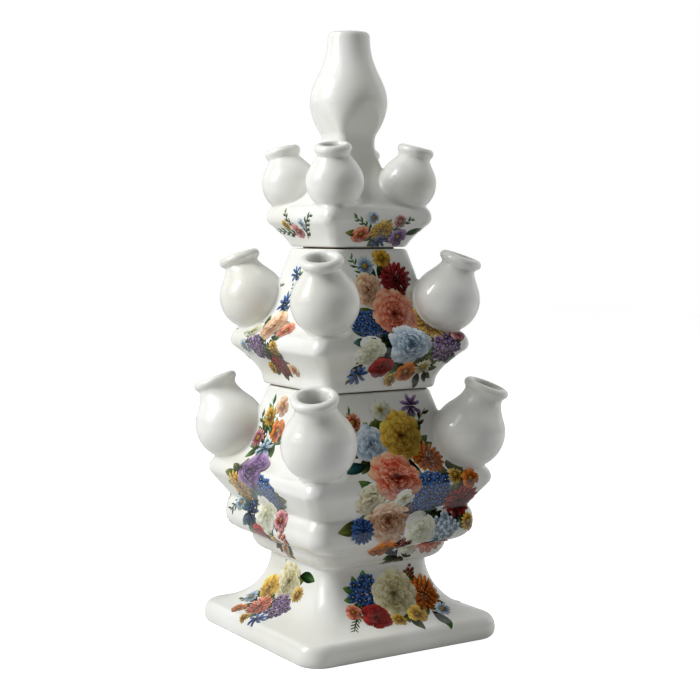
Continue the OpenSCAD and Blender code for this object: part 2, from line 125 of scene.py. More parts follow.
def meshOf(name, grid, loop=False, capStart=False, capEnd=False, material=None):
    # quads between the rows of a closed grid in millimetres, with flat caps where asked for
    rows, cols = grid.shape[:2]
    i = np.arange(rows if loop else rows - 1)[:, None]
    j = np.arange(cols)[None]
    on, up = (j + 1) % cols, (i + 1) % rows
    faces = np.stack([i * cols + j, i * cols + on, up * cols + on, up * cols + j], -1).reshape(-1, 4).tolist()
    if capStart:
        faces.append(list(range(cols - 1, -1, -1)))
    if capEnd:
        faces.append(list(range((rows - 1) * cols, rows * cols)))
    mesh = bpy.data.meshes.new(name)
    mesh.from_pydata((grid.reshape(-1, 3) * mm).tolist(), [], faces)
    mesh.shade_smooth()
    mesh.set_sharp_from_angle(angle=math.radians(crease["clay"]))
    obj = bpy.data.objects.new(name, mesh)
    scene.collection.objects.link(obj)
    if material:
        mesh.materials.append(material)
    return obj


def settle(obj, node, body):
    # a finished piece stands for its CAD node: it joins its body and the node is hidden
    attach(obj, body)
    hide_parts(node)


# Materials


def toLinear(code):
    # sRGB hex to linear light: a straight line near black, a power of 2.4 above it
    c = np.array([int(code[k : k + 2], 16) for k in (1, 3, 5)]) / 255
    return np.where(c <= 0.04045, c / 12.92, ((c + 0.055) / 1.055) ** 2.4)


def addNode(tree, kind, links=None, **settings):
    # one node with its settings; links fill inputs, by name or place, with a socket or a number
    node = tree.nodes.new(kind)
    for key, value in settings.items():
        if hasattr(node, key):
            setattr(node, key, value)
        else:
            node.inputs[key].default_value = value
    for key, source in (links or {}).items():
        if isinstance(source, (int, float)):
            node.inputs[key].default_value = source
        else:
            tree.links.new(source, node.inputs[key])
    return node


def newMaterial(name):
    # a fresh material with its tree and its main shader
    material = bpy.data.materials.new(name)
    material.use_nodes = True
    tree = material.node_tree
    return material, tree, tree.nodes["Principled BSDF"]


# White tin glaze over cast earthenware: a wet gloss that waves a little, warmer where it runs thin
glaze = {"white": "#f1f2ee", "thin": "#e8e8de", "tintMm": 45, "roughness": 0.04, "ior": 1.52}
glaze |= {"waveMm": 22, "waveDeepMm": 0.6, "waves": 0.22, "peelMm": 2.2, "peelDeepMm": 0.06, "peel": 0.12}


def glazeSurface(tree, shader):
    # slow waves of the glaze and a fine orange peel, as bump on Object coordinates
    place = addNode(tree, "ShaderNodeTexCoord").outputs["Object"]
    wave = addNode(tree, "ShaderNodeTexNoise", {"Vector": place}, Scale=1000 / glaze["waveMm"], Detail=1.0)
    peel = addNode(tree, "ShaderNodeTexNoise", {"Vector": place}, Scale=1000 / glaze["peelMm"], Detail=1.0)
    slow = addNode(
        tree, "ShaderNodeBump", {"Height": wave.outputs["Fac"]},
        Strength=glaze["waves"], Distance=glaze["waveDeepMm"] * mm,
    )
    fine = addNode(
        tree, "ShaderNodeBump", {"Height": peel.outputs["Fac"], "Normal": slow.outputs["Normal"]},
        Strength=glaze["peel"], Distance=glaze["peelDeepMm"] * mm,
    )
    tree.links.new(fine.outputs["Normal"], shader.inputs["Normal"])
    shader.inputs["Roughness"].default_value = glaze["roughness"]
    shader.inputs["IOR"].default_value = glaze["ior"]
    return place


glazedClay, tree, shader = newMaterial("white_glazed_earthenware")
place = glazeSurface(tree, shader)
cloud = addNode(tree, "ShaderNodeTexNoise", {"Vector": place}, Scale=1000 / glaze["tintMm"], Detail=2.0)
tint = addNode(tree, "ShaderNodeValToRGB", {"Fac": cloud.outputs["Fac"]})
tint.color_ramp.elements[0].position, tint.color_ramp.elements[1].position = 0.3, 0.6
tint.color_ramp.elements[0].color = (*toLinear(glaze["thin"]), 1)
tint.color_ramp.elements[1].color = (*toLinear(glaze["white"]), 1)
tree.links.new(tint.outputs["Color"], shader.inputs["Base Color"])

# Bare biscuit: matt clay where the glaze was wiped off the joints, coloured darker than the clay itself to
# paint the shade in the seams between tiers
bareClayAndSeamShade = {"clay": "#9c8d78", "roughness": 0.9}
biscuitAndSeamShade, _, shader = newMaterial("bare_biscuit_and_seam_shade")
shader.inputs["Base Color"].default_value = (*toLinear(bareClayAndSeamShade["clay"]), 1)
shader.inputs["Roughness"].default_value = bareClayAndSeamShade["roughness"]
print("materials made")

# Tiers, in millimetres; heights of a tier are measured from its own underside

clay = {"wall": 5, "floor": 6, "bulbWall": 4, "passage": 10, "rimRound": 1.2}
nose = {"under": 3.5, "over": 6, "back": 2.2}
register = {"land": 6.8, "depth": 8, "gap": 0.8, "wall": 4, "mouthR": 6, "insideR": 1.2}
register |= {"deeper": 2, "seam": 1.15, "seat": 1.5, "slant": 0.3}


def noseStart(tier):
    # where the underside of a ledge ends, short of its edge and below it
    return [tier["ledgeW"] / 2 - 0.6 * nose["back"], tier["ledgeZ"] - nose["under"]]


def wallFoot(tier):
    # where the wall over a ledge starts, behind its edge and above it
    return [tier["ledgeW"] / 2 - nose["back"], tier["ledgeZ"] + nose["over"]]


def ledgeNose(tier):
    # rounded edge of a ledge, from the end of its underside to the foot of the wall
    return pulled(noseStart(tier), [tier["ledgeW"] / 2 + nose["back"] / 2, tier["ledgeZ"]], wallFoot(tier))


def ledgeWall(tier):
    # wall from ledge to rim, hollow near the ledge, and its rounded rim
    footX, footZ = wallFoot(tier)
    rimX, topZ = tier["rimW"] / 2, tier["h"] - clay["rimRound"]
    rise, fall = topZ - footZ, footX - rimX
    upper = [rimX + 0.14 * fall, topZ - 0.26 * rise]
    hollow = pulled([footX, footZ], [rimX + 0.4 * fall, footZ + 0.14 * rise], upper, 40)
    return np.concatenate([hollow, leaveUpright([rimX, topZ], [rimX - clay["rimRound"], tier["h"]], 6)])


def flared(tier):
    # from the seam to the ledge: a rounded edge, then a curve from flareFrom towards flarePull, each given
    # as millimetres beyond the base and as a share of the ledge's height
    base, seam, soft = tier["baseW"] / 2, register["seam"], clay["rimRound"]
    ends = tier["flareFrom"], tier["flarePull"]
    start, pull = ([base + out, share * tier["ledgeZ"]] for out, share in ends)
    edge = leaveFlat([base - soft, seam], [base, seam + soft], 6)
    return np.concatenate([edge, pulled(start, pull, noseStart(tier))])


def mouthAndWall(tier):
    # the mouth of a rim and the inside wall down to the hollow of the ledge
    throat = [tier["mouthW"] / 2, tier["h"] - register["depth"] - register["deeper"]]
    hollow = [tier["ledgeW"] / 2 - nose["back"] - 1.5 * clay["wall"], tier["ledgeZ"]]
    bow = [throat[0] + 0.4 * (hollow[0] - throat[0]), hollow[1] + 0.45 * (throat[1] - hollow[1])]
    return np.concatenate([[[throat[0], tier["h"]]], pulled(throat, bow, hollow, 20)])


def spigot(mouthW, baseW):
    # the square register under a tier, out to its seat, then the open seam up to the outer edge
    w, deep, soft = mouthW / 2 - register["gap"], register["depth"], clay["rimRound"]
    seat, seam, inner = w + register["gap"] + register["seat"], register["seam"], w - register["wall"]
    tongue = [[inner, 0], [inner, -deep], [w - soft, -deep], [w, soft - deep], [w, 0]]
    return np.array(tongue + [[seat, 0], [seat + register["slant"], seam], [baseW / 2 - soft, seam]])


def innerRadii(path, table):
    # corner radii inside a wall: half a wall less than outside, 1.5 at least
    made = withRadii(path, table)
    made[:, 2] = np.maximum(1.5, made[:, 2] - clay["wall"] / 2)
    return made


def raised(path, z):
    # an outline lifted to its tier's place
    return path + np.array([0, z, 0])


foot = {"w": 144, "h": 48, "band": 14, "shoulder": 4, "waist": 78, "cornerR": 14, "waistR": 11, "ring": 7}
foot |= {"toe": 2, "collar": 1.5, "curveX": 4, "curveZ": 6}
footRadii = [[0, foot["cornerR"]], [foot["band"], foot["cornerR"]], [foot["h"], foot["waistR"]]]
widest, shoulder = [foot["w"] / 2, 0.4 * foot["band"]], [foot["w"] / 2 - foot["shoulder"], foot["band"]]
waist, collarZ, curveZ = foot["waist"] / 2, foot["h"] - foot["collar"], foot["band"] + foot["curveZ"]
footOutside = np.concatenate([
    leaveFlat([foot["w"] / 2 - foot["toe"], 0], widest),
    leaveUpright(widest, shoulder),
    pulled(shoulder, [waist + foot["curveX"], curveZ], [waist, collarZ], 40),
    [[waist, foot["h"]]],
])
inset = foot["w"] / 2 - foot["ring"] - foot["toe"]
footInside = np.concatenate([
    [[waist - clay["wall"], foot["h"]]],
    pulled(
        [waist - clay["wall"], collarZ], [waist - 0.2 * clay["wall"], curveZ - clay["wall"]],
        [inset, foot["band"] - clay["wall"]], 30,
    ),
    [[inset, 0]],
])
footSkin = softened(withRadii(footOutside, footRadii))
footPath = np.concatenate([footSkin, softened(innerRadii(footInside, footRadii), 1.2)])
settle(meshOf("glazed_foot", lofted(footPath), loop=True, material=glazedClay), "foot", "lower_tier")
print("foot made")

lower = {"z": 48, "h": 109, "stepW": 97, "stepZ": 13.5, "bulgeW": 122, "bulgeZ": 25, "bulgeR": 12}
lower |= {"grooveW": 115.5, "grooveZ": 36, "ledgeW": 137, "ledgeZ": 54, "rimW": 80, "cornerR": 9}
middle = {"z": 157, "h": 88, "baseW": 83.5, "ledgeW": 115, "ledgeZ": 29, "rimW": 58, "cornerR": 8}
middle |= {"flareFrom": (0.5, 0.2), "flarePull": (1.5, 0.46)}
top = {"z": 245, "h": 72, "baseW": 57, "ledgeW": 80, "ledgeZ": 19.5, "cornerR": 6.5}
top |= {"flareFrom": (0.3, 0.14), "flarePull": (2.5, 0.4)}
top |= {"neckW": 26.4, "neckH": 8, "neckR": 5, "neckFlare": 0.9, "neckFlareH": 5}
for tier in (lower, middle):
    tier["mouthW"] = tier["rimW"] - 2 * (register["land"] + clay["rimRound"])

# lower tier: step, bulge, groove, ledge and wall
lowerRadii = [[0, foot["waistR"]], [lower["stepZ"], lower["bulgeR"]], [lower["bulgeZ"], lower["bulgeR"]]]
lowerRadii += [[lower["ledgeZ"], lower["cornerR"]], [lower["h"], lower["cornerR"]]]
step, bulge = [lower["stepW"] / 2, lower["stepZ"]], [lower["bulgeW"] / 2, lower["bulgeZ"]]
groove = [lower["grooveW"] / 2, lower["grooveZ"]]
lowerOutside = np.concatenate([
    [[waist, 0]],
    leaveFlat([waist, foot["collar"]], step),
    leaveFlat(step, bulge),
    pulled(bulge, [bulge[0], 0.35 * bulge[1] + 0.65 * groove[1]], groove),
    ledgeNose(lower),
    ledgeWall(lower),
])
behind = groove[0] - 1.2 * clay["wall"]
lowerInside = np.concatenate([
    mouthAndWall(lower),
    [[behind, groove[1] + 1]],
    leaveUpright([behind, bulge[1] - 1], [step[0] - clay["wall"], step[1] + 0.8 * clay["wall"]]),
    [[step[0] - 2 * clay["wall"], clay["floor"]]],
])

# middle tier: seat and spigot, flare, ledge and wall
middleRadii = [[0, middle["cornerR"]], [middle["h"], middle["cornerR"]]]
middleOutside = np.concatenate([flared(middle), ledgeNose(middle), ledgeWall(middle)])
base = middle["baseW"] / 2
middleInside = np.concatenate([
    mouthAndWall(middle),
    leaveUpright(
        [base - 0.8 * clay["wall"], 0.55 * middle["ledgeZ"]], [base - 2 * clay["wall"], clay["floor"]]
    ),
])

# top tier: seat and spigot, flare, ledge and the long hollow shoulder up to the square neck
topRadii = [[0, top["cornerR"]], [top["ledgeZ"] + nose["over"], top["cornerR"]]]
topRadii += [[top["h"] - top["neckH"], top["neckR"]], [top["h"], top["neckR"]]]
neckBoreR = top["neckW"] / 2 - clay["wall"] + 0.5
shoulder, neck = wallFoot(top), [top["neckW"] / 2, top["h"] - top["neckH"]]
fall, rise = shoulder[0] - neck[0], neck[1] - shoulder[1]
flareZ = top["h"] - top["neckFlareH"]
topOutside = np.concatenate([
    flared(top),
    ledgeNose(top),
    pulled(shoulder, [neck[0] + 0.24 * fall, shoulder[1] + 0.2 * rise], neck, 40),
    pulled(
        [neck[0], flareZ], [neck[0], flareZ + top["neckFlareH"] / 2],
        [neck[0] + top["neckFlare"], top["h"]], 10,
    ),
])
base = top["baseW"] / 2
hollow, throat = [shoulder[0] - 1.5 * clay["wall"], top["ledgeZ"]], [neckBoreR, neck[1]]
pull = [throat[0] + 0.3 * (hollow[0] - throat[0]), hollow[1] + 0.3 * (throat[1] - hollow[1])]
topInside = np.concatenate([
    [[neckBoreR, top["h"]]],
    pulled(throat, pull, hollow),
    leaveUpright([base - clay["wall"], 0.6 * top["ledgeZ"]], [base - 2 * clay["wall"], clay["floor"]]),
])
innerR = top["cornerR"] - clay["wall"] / 2
channelRadii = [[0, innerR], [shoulder[1], innerR], [neck[1], neckBoreR]]

mouthR = register["mouthR"] - register["gap"]


def underside(below, tier):
    # corner radii along the register: small inside, the mouth's outside, the tier's own beyond the seat
    path = spigot(below["mouthW"], tier["baseW"])
    inside = path[:, 0] < below["mouthW"] / 2 - register["gap"] - register["wall"] + 0.1
    within = np.where(inside, register["insideR"], mouthR)
    return np.column_stack([path, np.where(path[:, 0] > below["mouthW"] / 2, tier["cornerR"], within)])


def lined(inside, z):
    # the inside of a tier, in longer steps than its skin, raised to its place
    return raised(softened(inside, 1.4), z)


lowerSkin = raised(softened(withRadii(lowerOutside, lowerRadii)), lower["z"])
middleSkin = raised(softened(withRadii(middleOutside, middleRadii)), middle["z"])
topSkin = raised(softened(withRadii(topOutside, topRadii)), top["z"])
lowerPath = np.concatenate([lowerSkin, lined(innerRadii(lowerInside, lowerRadii), lower["z"])])
middlePath = np.concatenate([
    raised(underside(lower, middle), middle["z"]), middleSkin,
    lined(innerRadii(middleInside, middleRadii), middle["z"]),
])
topPath = np.concatenate([
    raised(underside(middle, top), top["z"]), topSkin,
    lined(withRadii(topInside, channelRadii), top["z"]),
])

# Spouts: sizes as in the mould, then lean, inset from the tier's corner, rise over its ledge, and slip fillet

cornerTurn = {"front": 225, "right": 315, "back": 45, "left": 135}
spouts = {
    "lower": {
        "bulb": 45.5, "reach": 33, "lip": 29, "neck": 24.6, "bore": 18,
        "lean": 20.5, "inset": 14.8, "rise": 28.2, "slip": 3.2,
    },
    "middle": {
        "bulb": 42, "reach": 29.2, "lip": 27, "neck": 21.6, "bore": 15.5,
        "lean": 19.5, "inset": 14.8, "rise": 27.6, "slip": 3.2,
    },
    "top": {
        "bulb": 35.6, "reach": 23.8, "lip": 23, "neck": 20, "bore": 14,
        "lean": 13.5, "inset": 15.7, "rise": 21.2, "slip": 3,
    },
}
bead = {"r": 3, "shoulder": 38, "under": 40}
grain = {"meridians": 72, "slipRays": 9, "bulbRows": 34, "lipRows": 30, "hollowRows": 22}
grain |= {"outerWalk": 400, "innerWalk": 300, "stepsDown": 28, "halvings": 24}


def spoutOutline(size):
    # bulb round up to its shoulder, curve into the neck, rolled bead, then down the bore into the hollow bulb
    bulbR, lipR, neckR, boreR = (size[key] / 2 for key in ("bulb", "lip", "neck", "bore"))
    r, reach, innerR = bead["r"], size["reach"], bulbR - clay["bulbWall"]
    angle = math.radians(bead["shoulder"])
    shoulder, roll = np.array([math.cos(angle), math.sin(angle)]), np.array([lipR - r, reach - r])
    # where the bulb's slope meets the upright of the neck and of the bore
    pairs = (bulbR, neckR), (innerR, boreR)
    pull, innerPull = (np.array([n, (b - n * shoulder[0]) / shoulder[1]]) for b, n in pairs)
    neck = [neckR, max(reach - 2.4 * r, pull[1] + 0.3)]
    under = math.radians(bead["under"])
    start = roll + r * np.array([math.cos(under), -math.sin(under)])
    outer = np.concatenate([
        arcOf([0, 0], bulbR, -88, bead["shoulder"], 70),
        pulled(bulbR * shoulder, pull, neck)[1:],
    ])
    lip = softened(np.concatenate([
        pulled(neck, [neckR, reach - 2 * r], start, 8),
        arcOf(roll, r, -bead["under"], 90)[1:],
        leaveFlat([lipR - r, reach], [boreR, reach - r + 0.4], 10)[1:],
    ]), 0.4, 0.8)
    inner = np.concatenate([
        pulled(innerPull + [0, 2], innerPull, innerR * shoulder),
        arcOf([0, 0], innerR, bead["shoulder"], -88, 60)[1:],
    ])
    return outer, lip, inner


def walked(path, count):
    # the same outline in even steps
    length = np.r_[0, np.cumsum(np.hypot(*np.diff(path, axis=0).T))]
    at = np.linspace(0, length[-1], count)
    return np.stack([np.interp(at, length, column) for column in path.T], 1)


def tierField(path):
    # signed distance to a tier: across its rounded square section, times the cosine of the wall's slope
    w, z, r = path.T
    cosine = 1 / np.sqrt(1 + np.gradient(w, z) ** 2)

    def field(p):
        half, rad = np.interp(p[..., 2], z, w), np.interp(p[..., 2], z, r)
        x, y = np.abs(p[..., 0]) - half + rad, np.abs(p[..., 1]) - half + rad
        flat = np.hypot(np.maximum(x, 0), np.maximum(y, 0)) + np.minimum(np.maximum(x, y), 0) - rad
        return flat * np.interp(p[..., 2], z, cosine)

    return field


def spoutField(outer, bulbR, turn, origin):
    # signed distance to a spout: a sphere below its middle, above it the outline times the slope's cosine
    upper = outer[outer[:, 1] >= 0]
    cosine = 1 / np.sqrt(1 + np.gradient(upper[:, 0], upper[:, 1]) ** 2)

    def field(p):
        q = (p - origin) @ turn
        out, z = np.hypot(q[..., 0], q[..., 1]), q[..., 2]
        neckward = (out - np.interp(z, upper[:, 1], upper[:, 0])) * np.interp(z, upper[:, 1], cosine)
        return np.where(z < 0, np.hypot(out, z) - bulbR, neckward)

    return field


def uphill(field, p, h=0.05):
    # unit gradient of a distance field by central differences
    steps = np.eye(3) * h
    slope = np.stack([field(p + s) - field(p - s) for s in steps], -1)
    return slope / np.linalg.norm(slope, axis=-1, keepdims=True)


def spoutPlace(size, corner, tier):
    # a spout's axes and middle: leaned outwards, turned to its corner, set in from the corner of the ledge
    turnZ, lean = math.radians(cornerTurn[corner]), math.radians(size["lean"])
    c, s = math.cos(turnZ), math.sin(turnZ)
    rotZ = np.array([[c, -s, 0], [s, c, 0], [0, 0, 1]])
    c, s = math.cos(lean), math.sin(lean)
    rotY = np.array([[c, 0, s], [0, 1, 0], [-s, 0, c]])
    out = math.sqrt(2) * tier["ledgeW"] / 2 - (math.sqrt(2) - 1) * tier["cornerR"] - size["inset"]
    return rotZ @ rotY, rotZ @ np.array([out, 0, tier["z"] + tier["ledgeZ"] + size["rise"]])


luting = {"step": 0.5, "anchor": 1.5, "past": 1.25, "tuck": 0.6, "sunk": 0.35, "inWall": 0.4}


def slipFillet(meet, high, bulb, body, slip):
    # slip in the crease between a bulb and its tier: walks down the tier until the bulb is a fillet's width
    # away, then halves rays from behind the crease to where the smooth least of both distances is nought
    n1, n2 = uphill(bulb, meet), uphill(body, meet)
    along = n1 - (n1 * n2).sum(-1, keepdims=True) * n2
    along /= np.linalg.norm(along, axis=-1, keepdims=True)
    low, done = meet.copy(), np.zeros(len(meet), bool)
    for _ in range(grain["stepsDown"]):
        move = low + luting["step"] * along
        move -= body(move)[:, None] * uphill(body, move)
        low = np.where(done[:, None], low, move)
        done |= bulb(low) >= slip
    away = np.maximum(np.linalg.norm(n1 + n2, axis=-1, keepdims=True), 0.3)
    anchor = meet - luting["anchor"] * (n1 + n2) / away
    f = np.linspace(0, 1, grain["slipRays"] + 1)[:, None, None]
    aim = low * (1 - f) + high * f - anchor
    near, far = np.zeros(aim.shape[:2]), np.full(aim.shape[:2], luting["past"])
    for _ in range(grain["halvings"]):
        half = (near + far) / 2
        a, b = (field(anchor + half[..., None] * aim) for field in (bulb, body))
        inside = np.minimum(a, b) - np.maximum(slip - np.abs(a - b), 0) ** 2 / (4 * slip) < 0
        near, far = np.where(inside, half, near), np.where(inside, far, half)
    sunk = low + luting["tuck"] * along
    sunk = sunk - (body(sunk) + luting["sunk"])[:, None] * uphill(body, sunk)
    return np.concatenate([sunk[None], anchor + near[..., None] * aim])


def spoutGrid(size, skin, tier, turn, origin):
    # closed grid of a spout: slip fillet on the tier, bulb, lip, bore and hollow, ending in the tier's wall
    phi = np.linspace(0, 2 * math.pi, grain["meridians"], endpoint=False)
    rays = np.stack([np.cos(phi), np.sin(phi)], 1)

    def revolved(path):
        # half widths may differ round the axis: path is rows x 2 or rows x meridians x 2
        path = path if path.ndim == 3 else np.repeat(path[:, None], len(phi), 1)
        local = np.concatenate([path[..., :1] * rays, path[..., 1:]], -1)
        return local @ turn.T + origin

    outer, lip, inner = spoutOutline(size)
    body = tierField(skin[skin[:, 1] > tier["z"] + tier["ledgeZ"] - nose["under"] - 1])
    bulb = spoutField(outer, size["bulb"] / 2, turn, origin)

    def crossing(path, level):
        # per meridian, the place on an outline walked from its foot where it last comes out of the tier
        depth = body(revolved(path)) - level
        k = len(path) - 1 - np.argmax(depth[::-1] < 0, 0)
        k = np.minimum(np.where(depth.min(0) < 0, k, 0), len(path) - 2)
        cols = np.arange(len(phi))
        a, b = depth[k, cols], depth[k + 1, cols]
        return k + np.where(a < 0, a / (a - b), 0)

    def between(path, start, rows):
        # rows from a place that differs round the axis to the outline's end
        f = start + np.linspace(0, 1, rows)[:, None] * (len(path) - 1 - start)
        return np.stack([np.interp(f, np.arange(len(path)), column) for column in path.T], -1)

    fine = walked(outer, grain["outerWalk"])
    meet = revolved(between(fine, crossing(fine, 0.0), 2))[0]
    free = revolved(between(fine, crossing(fine, size["slip"]), grain["bulbRows"]))
    fillet = slipFillet(meet, free[0], bulb, body, size["slip"])
    hollow = walked(inner, grain["innerWalk"])[::-1]
    inside = revolved(between(hollow, crossing(hollow, -luting["inWall"]), grain["hollowRows"]))[::-1]
    rolled = revolved(walked(lip, grain["lipRows"]))[1:]
    return np.concatenate([fillet, free[1:], rolled, inside]), bulb


def leaveBareInSeamShade(obj, rimW, rimZ, baseZ):
    # faces of the joints go without glaze: the land on top of a rim, and what lies under the foot of a tier;
    # their darker clay colour is painted shade for the seams
    mesh = obj.data
    middles = np.empty(3 * len(mesh.polygons))
    mesh.polygons.foreach_get("center", middles)
    x, y, z = middles.reshape(-1, 3).T / mm
    land = (np.abs(z - rimZ) < 0.1) & (np.maximum(np.abs(x), np.abs(y)) < rimW / 2 - clay["rimRound"])
    mesh.materials.append(biscuitAndSeamShade)
    mesh.polygons.foreach_set("material_index", (land | (z < baseZ)).astype(int))


def bored(obj, holes, bulbR):
    # takes the water passages out of a tier's corners, each a round bar along its spout's axis
    bars, sides = [], 40
    a = np.linspace(0, 2 * math.pi, sides, endpoint=False)
    section = clay["passage"] / 2 * np.stack([np.cos(a), np.sin(a)], 1)
    ends = -bulbR - 2 * clay["wall"], 0
    for turn, origin in holes:
        bar = np.stack([np.column_stack([section, np.full(sides, z)]) for z in ends])
        bars.append(meshOf("passage", bar @ turn.T + origin, capStart=True, capEnd=True))
        cut = obj.modifiers.new("passage", "BOOLEAN")
        cut.operation, cut.solver, cut.object = "DIFFERENCE", "EXACT", bars[-1]
    mesh = bpy.data.meshes.new_from_object(obj.evaluated_get(bpy.context.evaluated_depsgraph_get()))
    obj.modifiers.clear()
    obj.data = mesh
    for bar in bars:
        bpy.data.objects.remove(bar)


tiers = {
    "lower": (lower, lowerPath, lowerSkin),
    "middle": (middle, middlePath, middleSkin),
    "top": (top, topPath, topSkin),
}
bulbs = {"foot": [], "lower": [], "middle": [], "top": []}
for name, (tier, path, skin) in tiers.items():
    body, size = name + "_tier", spouts[name]
    bowl = meshOf("glazed_" + name + "_bowl", lofted(path), capStart=True, capEnd=True, material=glazedClay)
    holes = []
    for corner in cornerTurn:
        holes.append(spoutPlace(size, corner, tier))
        grid, bulb = spoutGrid(size, skin, tier, *holes[-1])
        bulbs[name].append(bulb)
        spout = meshOf("glazed_" + name + "_spout_" + corner, grid, loop=True, material=glazedClay)
        settle(spout, name + "_spout_" + corner, body)
    bored(bowl, holes, size["bulb"] / 2)
    baseZ = 0 if name == "lower" else tier["z"] + register["seam"]
    # the bare joint faces get the darker clay that paints the shade of the seam
    leaveBareInSeamShade(bowl, tier.get("rimW", 0), tier["z"] + tier["h"], baseZ)
    settle(bowl, name + "_bowl", body)
    print(name, "tier made")

# Crown: square on the neck, round from its bulb up, given by the reach of its corners

crown = {"z": 317, "h": 63, "bulb": 49, "bulbZ": 18.5, "lip": 26.5, "bore": 18, "lipRound": 1.8}
crown |= {"lipH": 3, "roundBy": 1.25, "throat": 15, "inlet": 3}
neckHalf = top["neckW"] / 2 + top["neckFlare"]


def crownRound(z):
    # corner radius as a share of the half width, eased from the neck's square to a circle above the bulb
    start, t = top["neckR"] / neckHalf, np.clip(z / (crown["roundBy"] * crown["bulbZ"]), 0, 1)
    return start + (1 - start) * t * t * (3 - 2 * t)


neckReach = math.sqrt(2) * neckHalf - (math.sqrt(2) - 1) * top["neckR"]
bulb, lip = [crown["bulb"] / 2, crown["bulbZ"]], [crown["lip"] / 2, crown["h"] - crown["lipH"]]
reach = np.concatenate([
    pulled([neckReach, 0], [bulb[0] - 0.6, 0.48 * bulb[1]], bulb),
    ogee(bulb, lip, bulb[1] + 0.38 * (lip[1] - bulb[1]), bulb[1] + 0.5 * (lip[1] - bulb[1]))[1:],
    leaveUpright(lip, [lip[0] - crown["lipRound"], crown["h"]], 10)[1:],
])
share = crownRound(reach[:, 1])
half = reach[:, 0] / (math.sqrt(2) - (math.sqrt(2) - 1) * share)
crownOutside = softened(np.column_stack([half, reach[:, 1], half * share]), 0.8, 0.7)
boreR, throat = crown["bore"] / 2, [crown["bore"] / 2, crown["h"] - crown["throat"]]
innerBulb = [bulb[0] - clay["bulbWall"], bulb[1]]
crownInside = np.concatenate([
    leaveFlat([lip[0] - crown["lipRound"] - 0.7, crown["h"]], [boreR, crown["h"] - crown["lipRound"]], 8),
    ogee(throat, innerBulb, bulb[1] + 0.6 * (throat[1] - bulb[1]), bulb[1] + 0.4 * (throat[1] - bulb[1])),
    ogee(innerBulb, [neckBoreR, crown["inlet"]], 0.45 * bulb[1], 0.5 * bulb[1])[1:],
    [[neckBoreR, 0]],
])
crownInside = softened(np.column_stack([crownInside, crownInside[:, 0]]), 1.2, 0.7)
crownPath = raised(np.concatenate([crownOutside, crownInside]), crown["z"])
crownSpout = meshOf("glazed_crown_spout", lofted(crownPath), loop=True, material=glazedClay)
settle(crownSpout, "crown_spout", "top_tier")
print("crown made")

# Printed flowers: every petal, leaf and stem is a thin closed shell laid on a face, measured along and up it

palette = {
    "cobalt": ("#080f2c", "#1c3a7c", "#5c88c4"),
    "navy": ("#060a18", "#132045", "#3b5580"),
    "sky": ("#3b566e", "#86a6be", "#e4edf1"),
    "ivory": ("#a4a67c", "#d6d8b8", "#f2f2e4"),
    "cream": ("#55501f", "#b6ab6f", "#f0e9cb"),
    "peach": ("#6e3516", "#c08255", "#f1d6b8"),
    "butter": ("#462704", "#b07a12", "#ecca5e"),
    "orange": ("#3a1104", "#a04410", "#e08c38"),
    "coral": ("#4a0705", "#c23a1e", "#f6b492"),
    "crimson": ("#1c0407", "#661017", "#b03a34"),
    "mauve": ("#1f1530", "#5a4070", "#ae92b6"),
    "pink": ("#481327", "#a04a5c", "#e6aeaa"),
    "brown": ("#100703", "#40200e", "#8f5a2c"),
    "olive": ("#0d1004", "#323a14", "#737b3a"),
    "leaf": ("#08150a", "#234520", "#658c46"),
    "teal": ("#071a1d", "#1f4a47", "#66968a"),
    "grey": ("#2c372a", "#5c6b52", "#98a48e"),
    "gold": ("#211504", "#785514", "#d6b048"),
}
hues = {name: np.array([toLinear(code) for code in codes]) for name, codes in palette.items()}
# the film of the print in millimetres: mesh cell, clearance, lifts, depth, margin; the side its painted light
# comes from; a board of squares that keeps the height of what is laid, from left of and below a bed's zero
film = {"cell": 1.95, "clear": 0.08, "bulge": 0.5, "ring": 0.01, "over": 0.02, "sunk": 0.15, "margin": 0.9}
film |= {"light": (-0.6, 0.8), "round": 0.3, "board": (100, 80), "square": 2, "left": 100, "below": 10}


